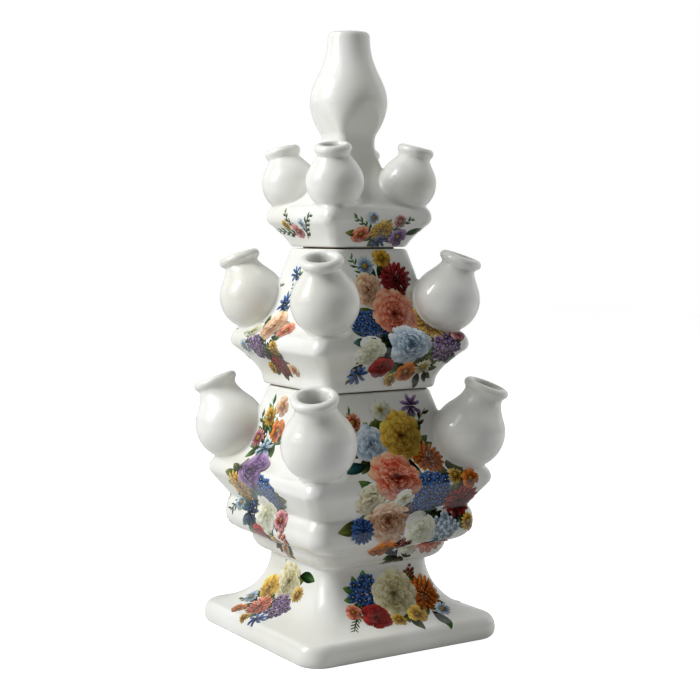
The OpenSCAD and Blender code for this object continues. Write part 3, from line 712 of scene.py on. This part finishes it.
def blades(at, turn, length, width, hue, rng, point=1.6, blunt=0.55, bend=0, notch=0, ruffle=0, rib=0):
    # n petals at once, along a from base to tip and across b from -1 to 1: half the width follows
    # sin(pi a^point)^blunt, the middle line turns by bend, notch and ruffle pull the tip in and out
    at = np.atleast_2d(np.asarray(at, float))
    n = len(at)
    each = (np.broadcast_to(np.asarray(v, float), n)[:, None, None] for v in (turn, length, width, bend))
    turn, length, width, bend = each
    rows = int(np.clip(np.ceil(length.max() / film["cell"]), 3, 22))
    cols = int(np.clip(np.ceil(width.max() / film["cell"]), 2, 8))
    a = (0.005 + 0.99 * (0.5 - 0.5 * np.cos(np.linspace(0, math.pi, rows + 1))))[None, :, None]
    b = np.linspace(-1, 1, cols + 1)[None, None]
    phase, tone = rng.uniform(0, 6.28, (n, 1, 1)), 1 + 0.14 * rng.uniform(-1, 1, (n, 1, 1))
    half = width / 2 * np.sin(math.pi * a**point) ** blunt
    reach = length * (a - notch * (1 - np.abs(b)) ** 2 * a**4 + ruffle * np.sin(7 * b + phase) * a**3)
    mid = turn + bend * a / 2
    sine, cosine = np.sin(turn + bend * a), np.cos(turn + bend * a)
    spots = np.stack([reach * np.cos(mid) - b * half * sine, reach * np.sin(mid) + b * half * cosine], -1)
    # colours: dark at the base, light at the tip, streaked, lit from the upper left and darker at the edges
    lx, ly = film["light"]
    along = np.clip(a + 0.07 * np.sin(5 * b + phase), 0, 1)
    low = np.clip((along - 0.1) / 0.5, 0, 1)[..., None]
    high = 0.9 * np.clip((along - 0.5) / 0.5, 0, 1)[..., None]
    low, high = low * low * (3 - 2 * low), high * high * (3 - 2 * high)
    paint = (hue[0] * (1 - low) + hue[1] * low) * (1 - high) + hue[2] * high
    shade = 1 + 0.24 * b * (ly * cosine - lx * sine) + 0.14 * (lx * cosine + ly * sine)
    shade = shade * (1 + 0.12 * np.sin(9 * b + 2 * phase) * a) * (1 - 0.25 * b**6 * (1 - a**6)) * tone
    shade = shade + rib * (np.exp(-((b / 0.16) ** 2)) - 0.35 * (np.sin(20 * a - 5 * np.abs(b)) > 0.75))
    return at[:, None, None] + spots, np.clip(paint * shade[..., None], 0.002, 0.92)


def dots(at, r, hue, rng):
    # small round spots: blades as wide as they are long, about their middles
    at = np.atleast_2d(at)
    turn = rng.uniform(2.0, 2.6, len(at))
    start = at - r * np.stack([np.cos(turn), np.sin(turn)], 1)
    return blades(start, turn, 2 * r, 2 * r, hue, rng, point=1.0, blunt=0.5)


def seedHead(n, r):
    # n places in a sunflower spiral: 137.5 degrees on at each, out by the root of its number
    k = np.arange(n) + 0.5
    return r * np.sqrt(k / n)[:, None] * np.stack([np.cos(2.39996 * k), np.sin(2.39996 * k)], 1)


# rings of a flower as count, start, length and width, in shares of its radius, from the outside in
kinds = {
    "peony": {
        "rings": [
            (9, 0.22, 0.78, 0.66), (8, 0.16, 0.66, 0.58), (8, 0.1, 0.54, 0.48), (7, 0.05, 0.42, 0.38),
            (5, 0, 0.3, 0.28),
        ],
        "ruffle": 0.05, "notch": 0.07,
    },
    "rose": {
        "rings": [
            (6, 0.16, 0.84, 1.0), (5, 0.12, 0.66, 0.86), (5, 0.07, 0.5, 0.68), (4, 0.03, 0.34, 0.48),
            (3, 0, 0.2, 0.3),
        ],
        "bend": 0.5,
    },
    "dahlia": {
        "rings": [
            (17, 0.46, 0.54, 0.24), (15, 0.34, 0.52, 0.24), (12, 0.22, 0.46, 0.22), (9, 0.1, 0.38, 0.2),
            (6, 0.02, 0.26, 0.16),
        ],
        "point": 1.4, "blunt": 0.7,
    },
    "daisy": {"rings": [(14, 0.16, 0.84, 0.25), (11, 0.14, 0.72, 0.22)], "point": 1.4, "eye": 0.27},
    "wildrose": {"rings": [(5, 0.05, 0.95, 0.98), (5, 0.04, 0.7, 0.7)], "notch": 0.12, "eye": 0.2},
    "bell": {
        "rings": [(8, 0.1, 0.9, 0.3), (6, 0.04, 0.62, 0.26)],
        "point": 1.9, "notch": 0.25, "ruffle": 0.1,
    },
}


def rosette(kind, r, turn, hue, rng):
    # rings of petals, each half a step on from the last, and a dotted eye
    look, layers = kinds[kind], []
    for k, (count, start, length, width) in enumerate(look["rings"]):
        step = np.arange(count) + 0.5 * (k % 2) + rng.uniform(-0.16, 0.16, count)
        way = turn + step * 2 * math.pi / count
        size = rng.uniform(0.88, 1.06, count)
        at = start * r * np.stack([np.cos(way), np.sin(way)], 1)
        bend = look.get("bend", 0.15) * rng.uniform(-1, 1, count)
        layers.append(blades(
            at, way, length * r * size, width * r, hue * (1 - 0.05 * k), rng, look.get("point", 1.9),
            look.get("blunt", 0.5), bend, look.get("notch", 0), look.get("ruffle", 0.03),
        ))
    if "eye" in look:
        eye = look["eye"] * r
        layers.append(dots([[0, 0]], eye, hues["gold"], rng))
        layers.append(dots(seedHead(14, 0.85 * eye), 0.2 * eye, hues["butter"], rng))
    return layers


def cluster(r, hue, rng):
    # a head of small flowers: each place of a spiral gets five petals and a pale dot
    n, petals = int(np.clip(0.11 * r * r, 7, 34)), 5
    places, layers = seedHead(n, 0.82 * r) + rng.uniform(-0.05, 0.05, (n, 2)) * r, []
    small = 1.15 * r / math.sqrt(n)
    for part in np.array_split(rng.permutation(n), 3):
        way = (rng.uniform(0, 6.28, (len(part), 1)) + np.arange(petals) * 2 * math.pi / petals).ravel()
        at = np.repeat(places[part], petals, 0)
        size = small * rng.uniform(0.85, 1.15, len(way))
        layers.append(blades(at, way, size, 0.8 * small, hue, rng, 1.7, 0.55))
        layers.append(dots(places[part], 0.16 * small, hues["cream"], rng))
    return layers


def fan(r, turn, hue, rng):
    # a flower seen from the side: three fans of ruffled petals over a green cup
    layers = []
    for count, spread, length, width in ((7, 1.25, 1.0, 0.52), (6, 0.95, 0.84, 0.46), (4, 0.6, 0.64, 0.4)):
        way = turn + spread * (np.linspace(-1, 1, count) + rng.uniform(-0.08, 0.08, count))
        layers.append(blades(
            np.zeros((count, 2)), way, 1.55 * length * r, width * r, hue, rng, 2.2, 0.5, 0.2, 0.05, 0.07
        ))
    back = -0.42 * r * np.array([[math.cos(turn), math.sin(turn)]])
    layers.append(blades(back, turn, 0.8 * r, 0.46 * r, hues["olive"], rng, 1.3, 0.6))
    return layers


def stemPath(length, turn, bend, n):
    # n places along an arc that starts along turn and bends evenly, with their directions
    a = np.linspace(0, 1, n)[:, None]
    mid = turn + bend * a / 2
    return length * a * np.concatenate([np.cos(mid), np.sin(mid)], 1), (turn + bend * a)[:, 0]


def spray(length, turn, bend, hue, rng, leaves=9, leaf=0.26, slim=0.36, spread=0.75):
    # a stem with leaves on both sides in turn, smaller towards its tip
    spots, way = stemPath(length, turn, bend, leaves + 2)
    side = np.where(np.arange(leaves) % 2, 1, -1)
    size = leaf * length * np.linspace(1.0, 0.6, leaves) * rng.uniform(0.85, 1.15, leaves)
    aim = way[1:-1] + spread * side
    return [
        blades([[0, 0]], turn, length, 0.9, hue * 0.8, rng, 0.9, 0.2, bend),
        blades(spots[1:-1], aim, size, slim * size, hue, rng, 1.1, 0.9, -0.5 * side, rib=0.25),
    ]


def berries(r, hue, rng):
    # a bunch of round berries, each with its light spot
    places = seedHead(9, 0.8 * r) + rng.uniform(-0.08, 0.08, (9, 2)) * r
    shine = places + 0.09 * r * np.array([[-1, 1]])
    return [dots(places, 0.24 * r, hue, rng), dots(shine, 0.07 * r, hues["cream"], rng)]


def foliage(r, turn, hue, rng):
    # a dark bed of leaves that points all ways from a middle
    n = 13
    way = turn + (np.arange(n) + rng.uniform(-0.3, 0.3, n)) * 2 * math.pi / n
    at = 0.3 * r * rng.uniform(0.4, 1, (n, 1)) * np.stack([np.cos(way), np.sin(way)], 1)
    size = r * rng.uniform(0.5, 0.8, n)
    tone = rng.uniform(0.6, 1.1)
    bend = rng.uniform(-0.6, 0.6, n)
    return [blades(at, way, size, 0.42 * size, hue * tone, rng, 1.1, 0.85, bend, rib=0.1)]


def motif(kind, size, turn, hue, bend, rng):
    # layers of petals of one plant, about its own middle or foot
    if kind in kinds:
        return rosette(kind, size, turn, hue, rng)
    if kind in ("foliage", "fan"):
        return {"foliage": foliage, "fan": fan}[kind](size, turn, hue, rng)
    if kind in ("cluster", "berries"):
        return {"cluster": cluster, "berries": berries}[kind](size, hue, rng)
    if kind == "leaf":
        return [blades([[0, 0]], turn, size, 0.4 * size, hue, rng, 1.05, 0.9, bend, rib=0.22)]
    if kind == "stem":
        return [blades([[0, 0]], turn, size, 0.9, hue, rng, 0.9, 0.2, bend)]
    more = {"leaves": 17, "leaf": 0.2, "slim": 0.26, "spread": 1.0} if kind == "fern" else {}
    return spray(size, turn, bend, hue, rng, **more)


# what stands where on a face: kind, along, up, size in millimetres, turn in degrees, hue, bend; back to front
bouquets = {
    "foot": [
        [
            ("foliage", 6, 42, 21, 0, "olive", 0), ("foliage", 26, 42, 18, 20, "leaf", 0),
            ("foliage", -14, 46, 18, 40, "leaf", 0), ("fern", -16, 42, 26, 215, "leaf", 0.4),
            ("leaf", 28, 30, 19, -66, "leaf", -0.5), ("leaf", 12, 30, 16, -100, "olive", 0.4),
            ("cluster", -14, 50, 12, 20, "cobalt", 0), ("dahlia", 27, 43, 13, 0, "orange", 0),
            ("peony", 6, 46, 17, 0, "cream", 0), ("rose", -13, 32, 10, 10, "crimson", 0),
            ("wildrose", 16, 29, 7.5, 0, "butter", 0), ("daisy", 36, 30, 6, 0, "sky", 0),
            ("wildrose", -27, 38, 6, 0, "coral", 0), ("daisy", 1, 27, 5.5, 0, "butter", 0),
            ("berries", 21, 58, 5, 0, "crimson", 0),
        ],
        [
            ("foliage", -2, 46, 20, 0, "olive", 0), ("leaf", 8, 56, 18, 16, "leaf", -0.5),
            ("spray", -14, 44, 30, 205, "olive", 0.4), ("foliage", -20, 32, 14, 10, "leaf", 0),
            ("leaf", -6, 30, 15, 250, "teal", 0.3), ("peony", -2, 51, 14, 0, "cream", 0),
            ("rose", -20, 43, 9.5, 0, "butter", 0), ("cluster", 4, 33, 11, 0, "mauve", 0),
            ("dahlia", -14, 28, 10, 0, "coral", 0), ("daisy", -31, 32, 6, 0, "sky", 0),
            ("bell", 0, 18, 7, 240, "cobalt", 0), ("daisy", 13, 45, 6, 0, "butter", 0),
            ("wildrose", -28, 20, 5.5, 0, "orange", 0), ("daisy", -12, 15, 4.5, 0, "butter", 0),
        ],
    ],
    "lower": [
        [
            ("foliage", -14, 98, 24, 0, "olive", 0), ("foliage", 10, 96, 24, 20, "leaf", 0),
            ("foliage", 34, 70, 20, 10, "olive", 0), ("foliage", -14, 58, 25, 0, "leaf", 0),
            ("foliage", 14, 58, 24, 30, "teal", 0), ("foliage", 36, 50, 24, 0, "olive", 0),
            ("foliage", 4, 34, 22, 0, "brown", 0), ("foliage", 6, 14, 15, 0, "leaf", 0),
            ("fern", -6, 84, 44, 112, "leaf", 0.3), ("spray", 6, 86, 42, 64, "olive", -0.3),
            ("leaf", -24, 46, 22, 205, "olive", -0.4), ("leaf", -22, 88, 22, 196, "teal", -0.4),
            ("spray", 42, 44, 24, -50, "grey", 0.5), ("leaf", 6, 16, 16, -120, "olive", 0.4),
            ("rose", -15, 101, 13, 40, "sky", 0), ("dahlia", 23, 88, 12, 0, "orange", 0),
            ("peony", 8, 105, 16, 30, "butter", 0), ("wildrose", -4, 122, 8, 0, "ivory", 0),
            ("daisy", -25, 115, 6.5, 0, "coral", 0), ("bell", 19, 123, 8, 60, "mauve", 0),
            ("cluster", 19, 62, 17, 0, "cobalt", 0), ("dahlia", 44, 54, 13, 0, "crimson", 0),
            ("rose", -25, 62, 12, 20, "cream", 0), ("peony", -6, 77, 18, 10, "coral", 0),
            ("peony", -9, 45, 16, 50, "peach", 0), ("cluster", 33, 35, 11, 0, "sky", 0),
            ("rose", 14, 37, 12, 20, "ivory", 0), ("dahlia", -28, 40, 9, 0, "cobalt", 0),
            ("daisy", 51, 38, 6, 0, "butter", 0), ("daisy", 36, 73, 6, 0, "butter", 0),
            ("wildrose", -1, 61, 7.5, 0, "ivory", 0), ("wildrose", 47, 70, 7, 0, "orange", 0),
            ("rose", -9, 23, 10, 0, "orange", 0), ("berries", 3, 27, 6, 0, "crimson", 0),
            ("wildrose", 14, 19, 8, 0, "ivory", 0), ("fan", 29, 25, 9, 265, "coral", 0),
        ],
        [
            ("foliage", -14, 98, 20, 0, "leaf", 0), ("spray", -6, 84, 44, 104, "leaf", 0.3),
            ("spray", -10, 86, 36, 136, "olive", -0.3), ("foliage", -16, 64, 26, 0, "olive", 0),
            ("foliage", -14, 46, 24, 0, "teal", 0), ("foliage", 10, 54, 20, 0, "leaf", 0),
            ("fern", -14, 60, 38, 203, "teal", 0.4), ("leaf", -6, 42, 25, 232, "leaf", -0.4),
            ("spray", 10, 36, 28, 250, "leaf", 0.3), ("leaf", 18, 60, 15, -10, "olive", 0.4),
            ("foliage", 2, 20, 15, 0, "olive", 0), ("wildrose", -9, 121, 7.5, 0, "peach", 0),
            ("daisy", -21, 113, 7, 0, "butter", 0), ("wildrose", -7, 105, 8, 0, "orange", 0),
            ("daisy", -27, 98, 7, 0, "pink", 0), ("bell", -14, 92, 9, 110, "sky", 0),
            ("cluster", 11, 61, 14, 0, "cobalt", 0), ("dahlia", -25, 60, 12, 0, "butter", 0),
            ("rose", -8, 75, 14, 30, "mauve", 0), ("peony", 0, 44, 14, 0, "ivory", 0),
            ("wildrose", 19, 43, 8, 0, "pink", 0), ("daisy", -34, 46, 6, 0, "sky", 0),
            ("bell", -18, 41, 9, 250, "navy", 0), ("rose", -8, 28, 9, 0, "crimson", 0),
            ("berries", 21, 32, 6, 0, "coral", 0), ("daisy", 8, 26, 5.5, 0, "butter", 0),
            ("wildrose", 4, 14, 5, 0, "peach", 0),
        ],
    ],
    "middle": [
        [
            ("foliage", 0, 78, 20, 0, "leaf", 0), ("foliage", 4, 48, 29, 0, "olive", 0),
            ("foliage", 28, 40, 25, 15, "leaf", 0), ("foliage", -14, 36, 20, 0, "teal", 0),
            ("leaf", 40, 42, 20, 18, "olive", 0.5), ("leaf", 34, 26, 20, -30, "leaf", 0.3),
            ("fern", -2, 64, 36, 108, "leaf", 0.3), ("spray", 28, 60, 24, 40, "leaf", 0.3),
            ("spray", -18, 32, 27, 240, "olive", 0.4), ("foliage", 12, 24, 18, 0, "leaf", 0),
            ("foliage", 24, 14, 16, 0, "olive", 0), ("wildrose", 5, 95, 7, 0, "butter", 0),
            ("daisy", -8, 90, 7, 0, "sky", 0), ("rose", -8, 75, 11, 40, "peach", 0),
            ("dahlia", 13, 81, 12, 0, "crimson", 0), ("wildrose", 26, 71, 7.5, 0, "ivory", 0),
            ("cluster", -15, 51, 13, 0, "cobalt", 0), ("dahlia", 30, 51, 14, 0, "butter", 0),
            ("peony", 7, 59, 17, 30, "coral", 0), ("cluster", 36, 31, 11, 0, "mauve", 0),
            ("peony", 9, 35, 16, 0, "sky", 0), ("rose", -20, 31, 11, 0, "ivory", 0),
            ("wildrose", 46, 41, 6, 0, "pink", 0), ("rose", -7, 18, 9, 0, "crimson", 0),
            ("wildrose", 13, 13, 8, 20, "orange", 0), ("bell", -22, 12, 7.5, 240, "cobalt", 0),
            ("daisy", 25, 16, 6.5, 0, "cream", 0), ("daisy", 3, 8, 5, 0, "butter", 0),
        ],
        [
            ("spray", -14, 52, 36, 82, "leaf", -0.3), ("stem", -8, 50, 42, 78, "olive", 0.3),
            ("foliage", -18, 42, 19, 0, "olive", 0), ("foliage", -4, 38, 18, 0, "leaf", 0),
            ("spray", 0, 36, 30, 240, "leaf", 0.3), ("leaf", 4, 26, 17, 265, "teal", -0.3),
            ("foliage", -4, 18, 16, 0, "olive", 0), ("bell", -9, 84, 6, 100, "cobalt", 0),
            ("bell", -5, 74, 7, 60, "sky", 0), ("bell", -13, 64, 8, 120, "cobalt", 0),
            ("wildrose", -27, 42, 8, 0, "ivory", 0), ("rose", -9, 48, 12, 0, "peach", 0),
            ("wildrose", 9, 45, 7.5, 0, "coral", 0), ("cluster", -18, 29, 10.5, 0, "mauve", 0),
            ("daisy", 4, 31, 6, 0, "butter", 0), ("dahlia", -3, 16, 9, 0, "crimson", 0),
            ("daisy", -34, 30, 5.5, 0, "sky", 0), ("wildrose", 10, 14, 5.5, 0, "peach", 0),
            ("daisy", -17, 13, 5, 0, "butter", 0),
        ],
    ],
    "top": [
        [
            ("spray", -2, 8, 24, 128, "leaf", 0.5), ("spray", 6, 8, 22, 54, "leaf", -0.5),
            ("foliage", 2, 9, 13, 0, "olive", 0), ("leaf", 20, 10, 13, 10, "leaf", 0.4),
            ("leaf", -10, 9, 14, 160, "olive", 0.4), ("wildrose", -12, 10, 7, 0, "coral", 0),
            ("wildrose", 16, 8, 7, 0, "mauve", 0), ("dahlia", 2, 13, 8.5, 0, "butter", 0),
            ("daisy", -7, 22, 4.5, 0, "sky", 0), ("daisy", 13, 20, 4.5, 0, "pink", 0),
            ("bell", 3, 4, 6, 10, "cobalt", 0),
        ],
        [
            ("spray", 2, 6, 26, 60, "leaf", -0.5), ("spray", -6, 8, 26, 160, "leaf", 0.4),
            ("spray", -2, 8, 22, 110, "olive", 0.4), ("wildrose", -4, 12, 6, 0, "pink", 0),
            ("daisy", -14, 17, 4.2, 0, "butter", 0), ("wildrose", 6, 18, 4.2, 0, "sky", 0),
        ],
    ],
}


def onFace(skin, face, u, s, lift):
    # a place on a tier: its outline gives half width, height and corner radius at the length s up it;
    # u runs along the flat and on round the corner, lift goes out along the normal, more on a bulge
    length = np.r_[0, np.cumsum(np.hypot(*np.diff(skin[:, :2], axis=0).T))]
    slopes = [np.gradient(column, length) for column in skin.T[:2]]
    bulge = np.gradient(np.unwrap(np.arctan2(-slopes[0], slopes[1])), length)
    bulge = np.convolve(np.maximum(bulge, 0), np.ones(5) / 5, "same")
    w, z, r, dw, dz, bulge = (np.interp(s, length, column) for column in (*skin.T, *slopes, bulge))
    lift = lift + np.where(lift > 0, film["bulge"] * bulge, 0)
    a = np.clip(np.abs(u) - w + r, 0, r * math.pi / 2) / r
    past = np.maximum(np.abs(u) - w + r - r * math.pi / 2, 0)
    across = np.sign(u) * (np.minimum(np.abs(u), w - r) + (r + lift * dz) * np.sin(a))
    out = w - r + (r + lift * dz) * np.cos(a) - past
    c, d = ((0, -1), (-1, 0), (0, 1), (1, 0))[face]
    return np.stack([out * c - across * d, out * d + across * c, z - lift * dw], -1)


def petalShells(skin, covers, beds, rng):
    # lays every motif on its faces, higher than those it covers, and closes each petal to a shell; what would
    # lie inside a spout is left out; gives the places, quads, colours and map cells, and the count of petals
    rimS = np.hypot(*np.diff(skin[:, :2], axis=0).T).sum()
    spots, quads, paints, cells, start, blade = [], [], [], [], 0, 0
    for face, bed in beds:
        laid = np.full(film["board"], film["clear"])
        for kind, u, s, size, turn, hue, bend in bed:
            layers = motif(kind, size, math.radians(turn), hues[hue], bend, rng)
            edge = np.concatenate([points.reshape(-1, 2) for points, _ in layers])
            reach = np.hypot(*(edge - edge.mean(0)).T).max()
            spot = np.round((edge + (u + film["left"], s + film["below"])) / film["square"]).astype(int)
            spot = tuple(np.clip(spot, 0, np.array(film["board"]) - 1).T)
            base = laid[spot].max() + film["over"]
            laid[spot] = base + film["ring"] * len(layers)
            for k, (points, paint) in enumerate(layers):
                n, rows, cols = points.shape[:3]
                ball = 1 + film["round"] * (points @ np.array(film["light"])) / reach
                paint = np.clip(paint * ball[..., None], 0.002, 0.92)
                along, up = points[..., 0] + u, points[..., 1] + s
                lift = base + film["ring"] * (k + 0.9 * np.arange(n) / n)[:, None, None]
                held = np.clip(up, film["margin"], rimS - film["margin"])
                shell = [onFace(skin, face, along, held, height) for height in (lift, -film["sunk"])]
                i, r, c = np.meshgrid(np.arange(n), np.arange(rows - 1), np.arange(cols - 1), indexing="ij")
                v = (i * rows + r) * cols + c
                quad = np.stack([v, v + cols, v + cols + 1, v + 1], -1).reshape(-1, 4)
                shows = (held == up) & np.all([cover(shell[0]) > -1 for cover in covers] + [held > 0], 0)
                quad = quad[shows.ravel()[quad].any(1)]
                if not len(quad):
                    continue
                a, b = quad.ravel(), np.roll(quad, -1, 1).ravel()
                count = n * rows * cols
                rim = ~np.isin(a * count + b, b * count + a)
                a, b = a[rim], b[rim]
                sides = np.stack([b, a, a + count, b + count], 1)
                quads.append(start + np.concatenate([quad, quad[:, ::-1] + count, sides]))
                spots += [part.reshape(-1, 3) for part in shell]
                paints += [paint.reshape(-1, 3)] * 2
                across = [np.linspace(0.1, 0.9, m) for m in (rows, cols)]
                i, r, c = np.meshgrid(blade + np.arange(n), *across, indexing="ij")
                cells += [np.stack([i, c, r], -1).reshape(-1, 3)] * 2
                start, blade = start + 2 * count, blade + n
    return (*(np.concatenate(part) for part in (spots, quads, paints, cells)), blade)


def printed(name, skin, covers, beds, body, seed):
    # one print: the shells of all its petals as one mesh, with their colours and a map for the bake
    spots, quads, paints, cells, petals = petalShells(skin, covers, beds, np.random.default_rng(seed))
    used, quads = np.unique(quads, return_inverse=True)
    quads = quads.reshape(-1)
    mesh = bpy.data.meshes.new(name)
    mesh.vertices.add(len(used))
    mesh.vertices.foreach_set("co", (spots[used] * mm).ravel())
    mesh.loops.add(len(quads))
    mesh.loops.foreach_set("vertex_index", quads)
    mesh.polygons.add(len(quads) // 4)
    mesh.polygons.foreach_set("loop_start", np.arange(0, len(quads), 4))
    mesh.update(calc_edges=True)
    mesh.shade_smooth()
    mesh.set_sharp_from_angle(angle=math.radians(crease["print"]))
    ink = mesh.attributes.new("ink", "FLOAT_COLOR", "POINT")
    ink.data.foreach_set("color", np.column_stack([paints[used], np.ones(len(used))]).ravel())
    # each petal has its own cell of the bake's map
    wide = math.ceil(math.sqrt(petals))
    cell = cells[used][quads]
    sheet = mesh.uv_layers.new(name="OFBake")
    corner = np.stack([cell[:, 0] % wide, cell[:, 0] // wide], 1)
    sheet.data.foreach_set("uv", ((corner + cell[:, 1:]) / wide).ravel())
    mesh.materials.append(transfer)
    obj = bpy.data.objects.new(name, mesh)
    scene.collection.objects.link(obj)
    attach(obj, body)
    print(name, len(quads) // 2, "triangles")


# Ceramic transfer fired under the gloss: painted colours with the same wet skin as the white
transfer, tree, shader = newMaterial("floral_transfer_under_glaze")
glazeSurface(tree, shader)
ink = addNode(tree, "ShaderNodeAttribute", attribute_name="ink")
tree.links.new(ink.outputs["Color"], shader.inputs["Base Color"])

skins = {"foot": footSkin, "lower": lowerSkin, "middle": middleSkin, "top": topSkin}
for k, (name, skin) in enumerate(skins.items()):
    body = "lower_tier" if name == "foot" else name + "_tier"
    for pair, side in enumerate(("main", "side")):
        beds = [(face, bouquets[name][pair]) for face in (pair, pair + 2)]
        printed(name + "_flowers_" + side, skin, bulbs[name], beds, body, seed=11 + 2 * k + pair)

# Stage: white floor and background, a tall softbox on the left, weaker fills above, right and low left

stage = {"floor": 3.0, "paper": "#c4c4c4", "white": 0.975, "mirrored": 0.3, "behind": 0.6, "dim": 0.01}
floorMesh = bpy.data.meshes.new("studio_floor")
edge = stage["floor"]
corners = [(-edge, -edge, 0), (edge, -edge, 0), (edge, edge, 0), (-edge, edge, 0)]
floorMesh.from_pydata(corners, [], [(0, 1, 2, 3)])
floor = bpy.data.objects.new("studio_floor", floorMesh)
scene.collection.objects.link(floor)


def seenDirectly(tree, mirrored):
    # 1 for rays that show a thing to the eye, its own share by way of a mirror, 0 for the light it gives
    ray = addNode(tree, "ShaderNodeLightPath").outputs
    second = addNode(
        tree, "ShaderNodeMath", {0: ray["Is Glossy Ray"], 1: ray["Is Transmission Ray"]}, operation="MAXIMUM"
    )
    share = addNode(tree, "ShaderNodeMath", {0: second.outputs[0], 1: mirrored}, operation="MULTIPLY")
    first = {0: ray["Is Camera Ray"], 1: share.outputs[0]}
    return addNode(tree, "ShaderNodeMath", first, operation="MAXIMUM").outputs[0]


# White paper: nearly white by itself, and the light it catches lifts it to full white outside the shadow
paper, tree, _ = newMaterial("white_paper_sweep")
tree.nodes.clear()
seen = seenDirectly(tree, stage["mirrored"])
glow = addNode(tree, "ShaderNodeMath", {0: seen, 1: stage["white"]}, operation="MULTIPLY")
dull = addNode(tree, "ShaderNodeBsdfDiffuse", Color=(*toLinear(stage["paper"]), 1))
bright = addNode(tree, "ShaderNodeEmission", {"Strength": glow.outputs[0]}, Color=(1, 1, 1, 1))
both = addNode(tree, "ShaderNodeAddShader", {0: dull.outputs[0], 1: bright.outputs[0]})
addNode(tree, "ShaderNodeOutputMaterial", {"Surface": both.outputs[0]})
floorMesh.materials.append(paper)

# Black flags round the camera's side and overhead: only mirrors see them, so the glaze keeps its darks there
flags = {"away": 1.9, "tall": 2.4, "spread": 115, "facing": 237.4, "posts": 33, "velvet": "#272727"}
posts, tall = flags["posts"], flags["tall"]
bend = np.radians(flags["facing"] + np.linspace(-flags["spread"], flags["spread"], posts))
rim = np.stack([np.cos(bend), np.sin(bend)], 1) * flags["away"]
full = np.radians(np.arange(0, 360, 10))
roof = np.stack([np.cos(full), np.sin(full)], 1) * flags["away"]
levels = (rim, 0), (rim, tall), (roof, tall)
corners = np.concatenate([np.column_stack([flat, np.full(len(flat), z)]) for flat, z in levels])
flagMesh = bpy.data.meshes.new("black_flags")
walls = [(i, i + 1, i + posts + 1, i + posts) for i in range(posts - 1)]
flagMesh.from_pydata(corners.tolist(), [], walls + [tuple(range(2 * posts, len(corners)))])
flag = bpy.data.objects.new("black_flags", flagMesh)
scene.collection.objects.link(flag)
velvet, _, shader = newMaterial("black_velvet")
shader.inputs["Base Color"].default_value = (*toLinear(flags["velvet"]), 1)
shader.inputs["Roughness"].default_value = 1
flagMesh.materials.append(velvet)
flag.visible_camera = flag.visible_diffuse = flag.visible_shadow = False

world = bpy.data.worlds.new("studio")
scene.world = world
world.use_nodes = True
tree = world.node_tree
tree.nodes.clear()
dim = addNode(tree, "ShaderNodeBackground", Color=(1, 1, 1, 1), Strength=stage["dim"])
bright = addNode(tree, "ShaderNodeBackground", Color=(1, 1, 1, 1), Strength=1.0)
seen = seenDirectly(tree, stage["behind"])
mixed = addNode(tree, "ShaderNodeMixShader", {0: seen, 1: dim.outputs[0], 2: bright.outputs[0]})
addNode(tree, "ShaderNodeOutputWorld", {"Surface": mixed.outputs[0]})

# lamps: place, aim and size in metres, power in watts, and whether the glaze mirrors them
lamps = {
    "left_softbox": {
        "at": (-1.31, 0.29, 1.05), "aim": (0, 0, 0.22), "size": (1.2, 1.7), "power": 13.3, "mirrored": True,
    },
    "softbox_core": {
        "at": (-1.28, 0.28, 1.05), "aim": (0, 0, 0.22), "size": (0.45, 0.9), "power": 12, "mirrored": True,
    },
    "top_softbox": {
        "at": (-0.2, -0.25, 1.6), "aim": (0, 0, 0.22), "size": (0.9, 0.9), "power": 4, "mirrored": False,
    },
    "right_fill": {
        "at": (1.2, -0.4, 0.6), "aim": (0, 0, 0.22), "size": (0.6, 0.9), "power": 8.2, "mirrored": False,
    },
    "low_left_fill": {
        "at": (-1.2, 0.1, 0.2), "aim": (0, 0, 0.2), "size": (1.0, 0.36), "power": 1.2, "mirrored": False,
    },
}
for name, lamp in lamps.items():
    data = bpy.data.lights.new(name, "AREA")
    data.shape = "RECTANGLE"
    data.size, data.size_y = lamp["size"]
    data.energy = lamp["power"]
    obj = bpy.data.objects.new(name, data)
    scene.collection.objects.link(obj)
    obj.location = lamp["at"]
    aim = Vector(lamp["aim"]) - obj.location
    obj.rotation_euler = aim.to_track_quat("-Z", "Y").to_euler()
    obj.visible_glossy = lamp["mirrored"]

# Camera: 74 mm lens, 0.92 m away, a little above the middle and turned down

view = {"lens": 74.44, "at": (-0.4963, -0.7770, 0.2563), "down": 4.713, "heading": -32.57, "roll": 0.18}
view["shift"] = 2.08 / 700  # two pixels of the picture's width
camera = bpy.data.cameras.new("camera")
camera.lens, camera.sensor_width, camera.shift_x = view["lens"], 36, view["shift"]
cameraObj = bpy.data.objects.new("camera", camera)
scene.collection.objects.link(cameraObj)
cameraObj.location = view["at"]
facing = Euler((math.radians(90 - view["down"]), 0, math.radians(view["heading"]))).to_matrix()
cameraObj.rotation_euler = (facing @ Matrix.Rotation(math.radians(view["roll"]), 3, "Z")).to_euler()
scene.camera = cameraObj
scene.view_settings.view_transform = "Standard"
print("stage, lamps and camera made")
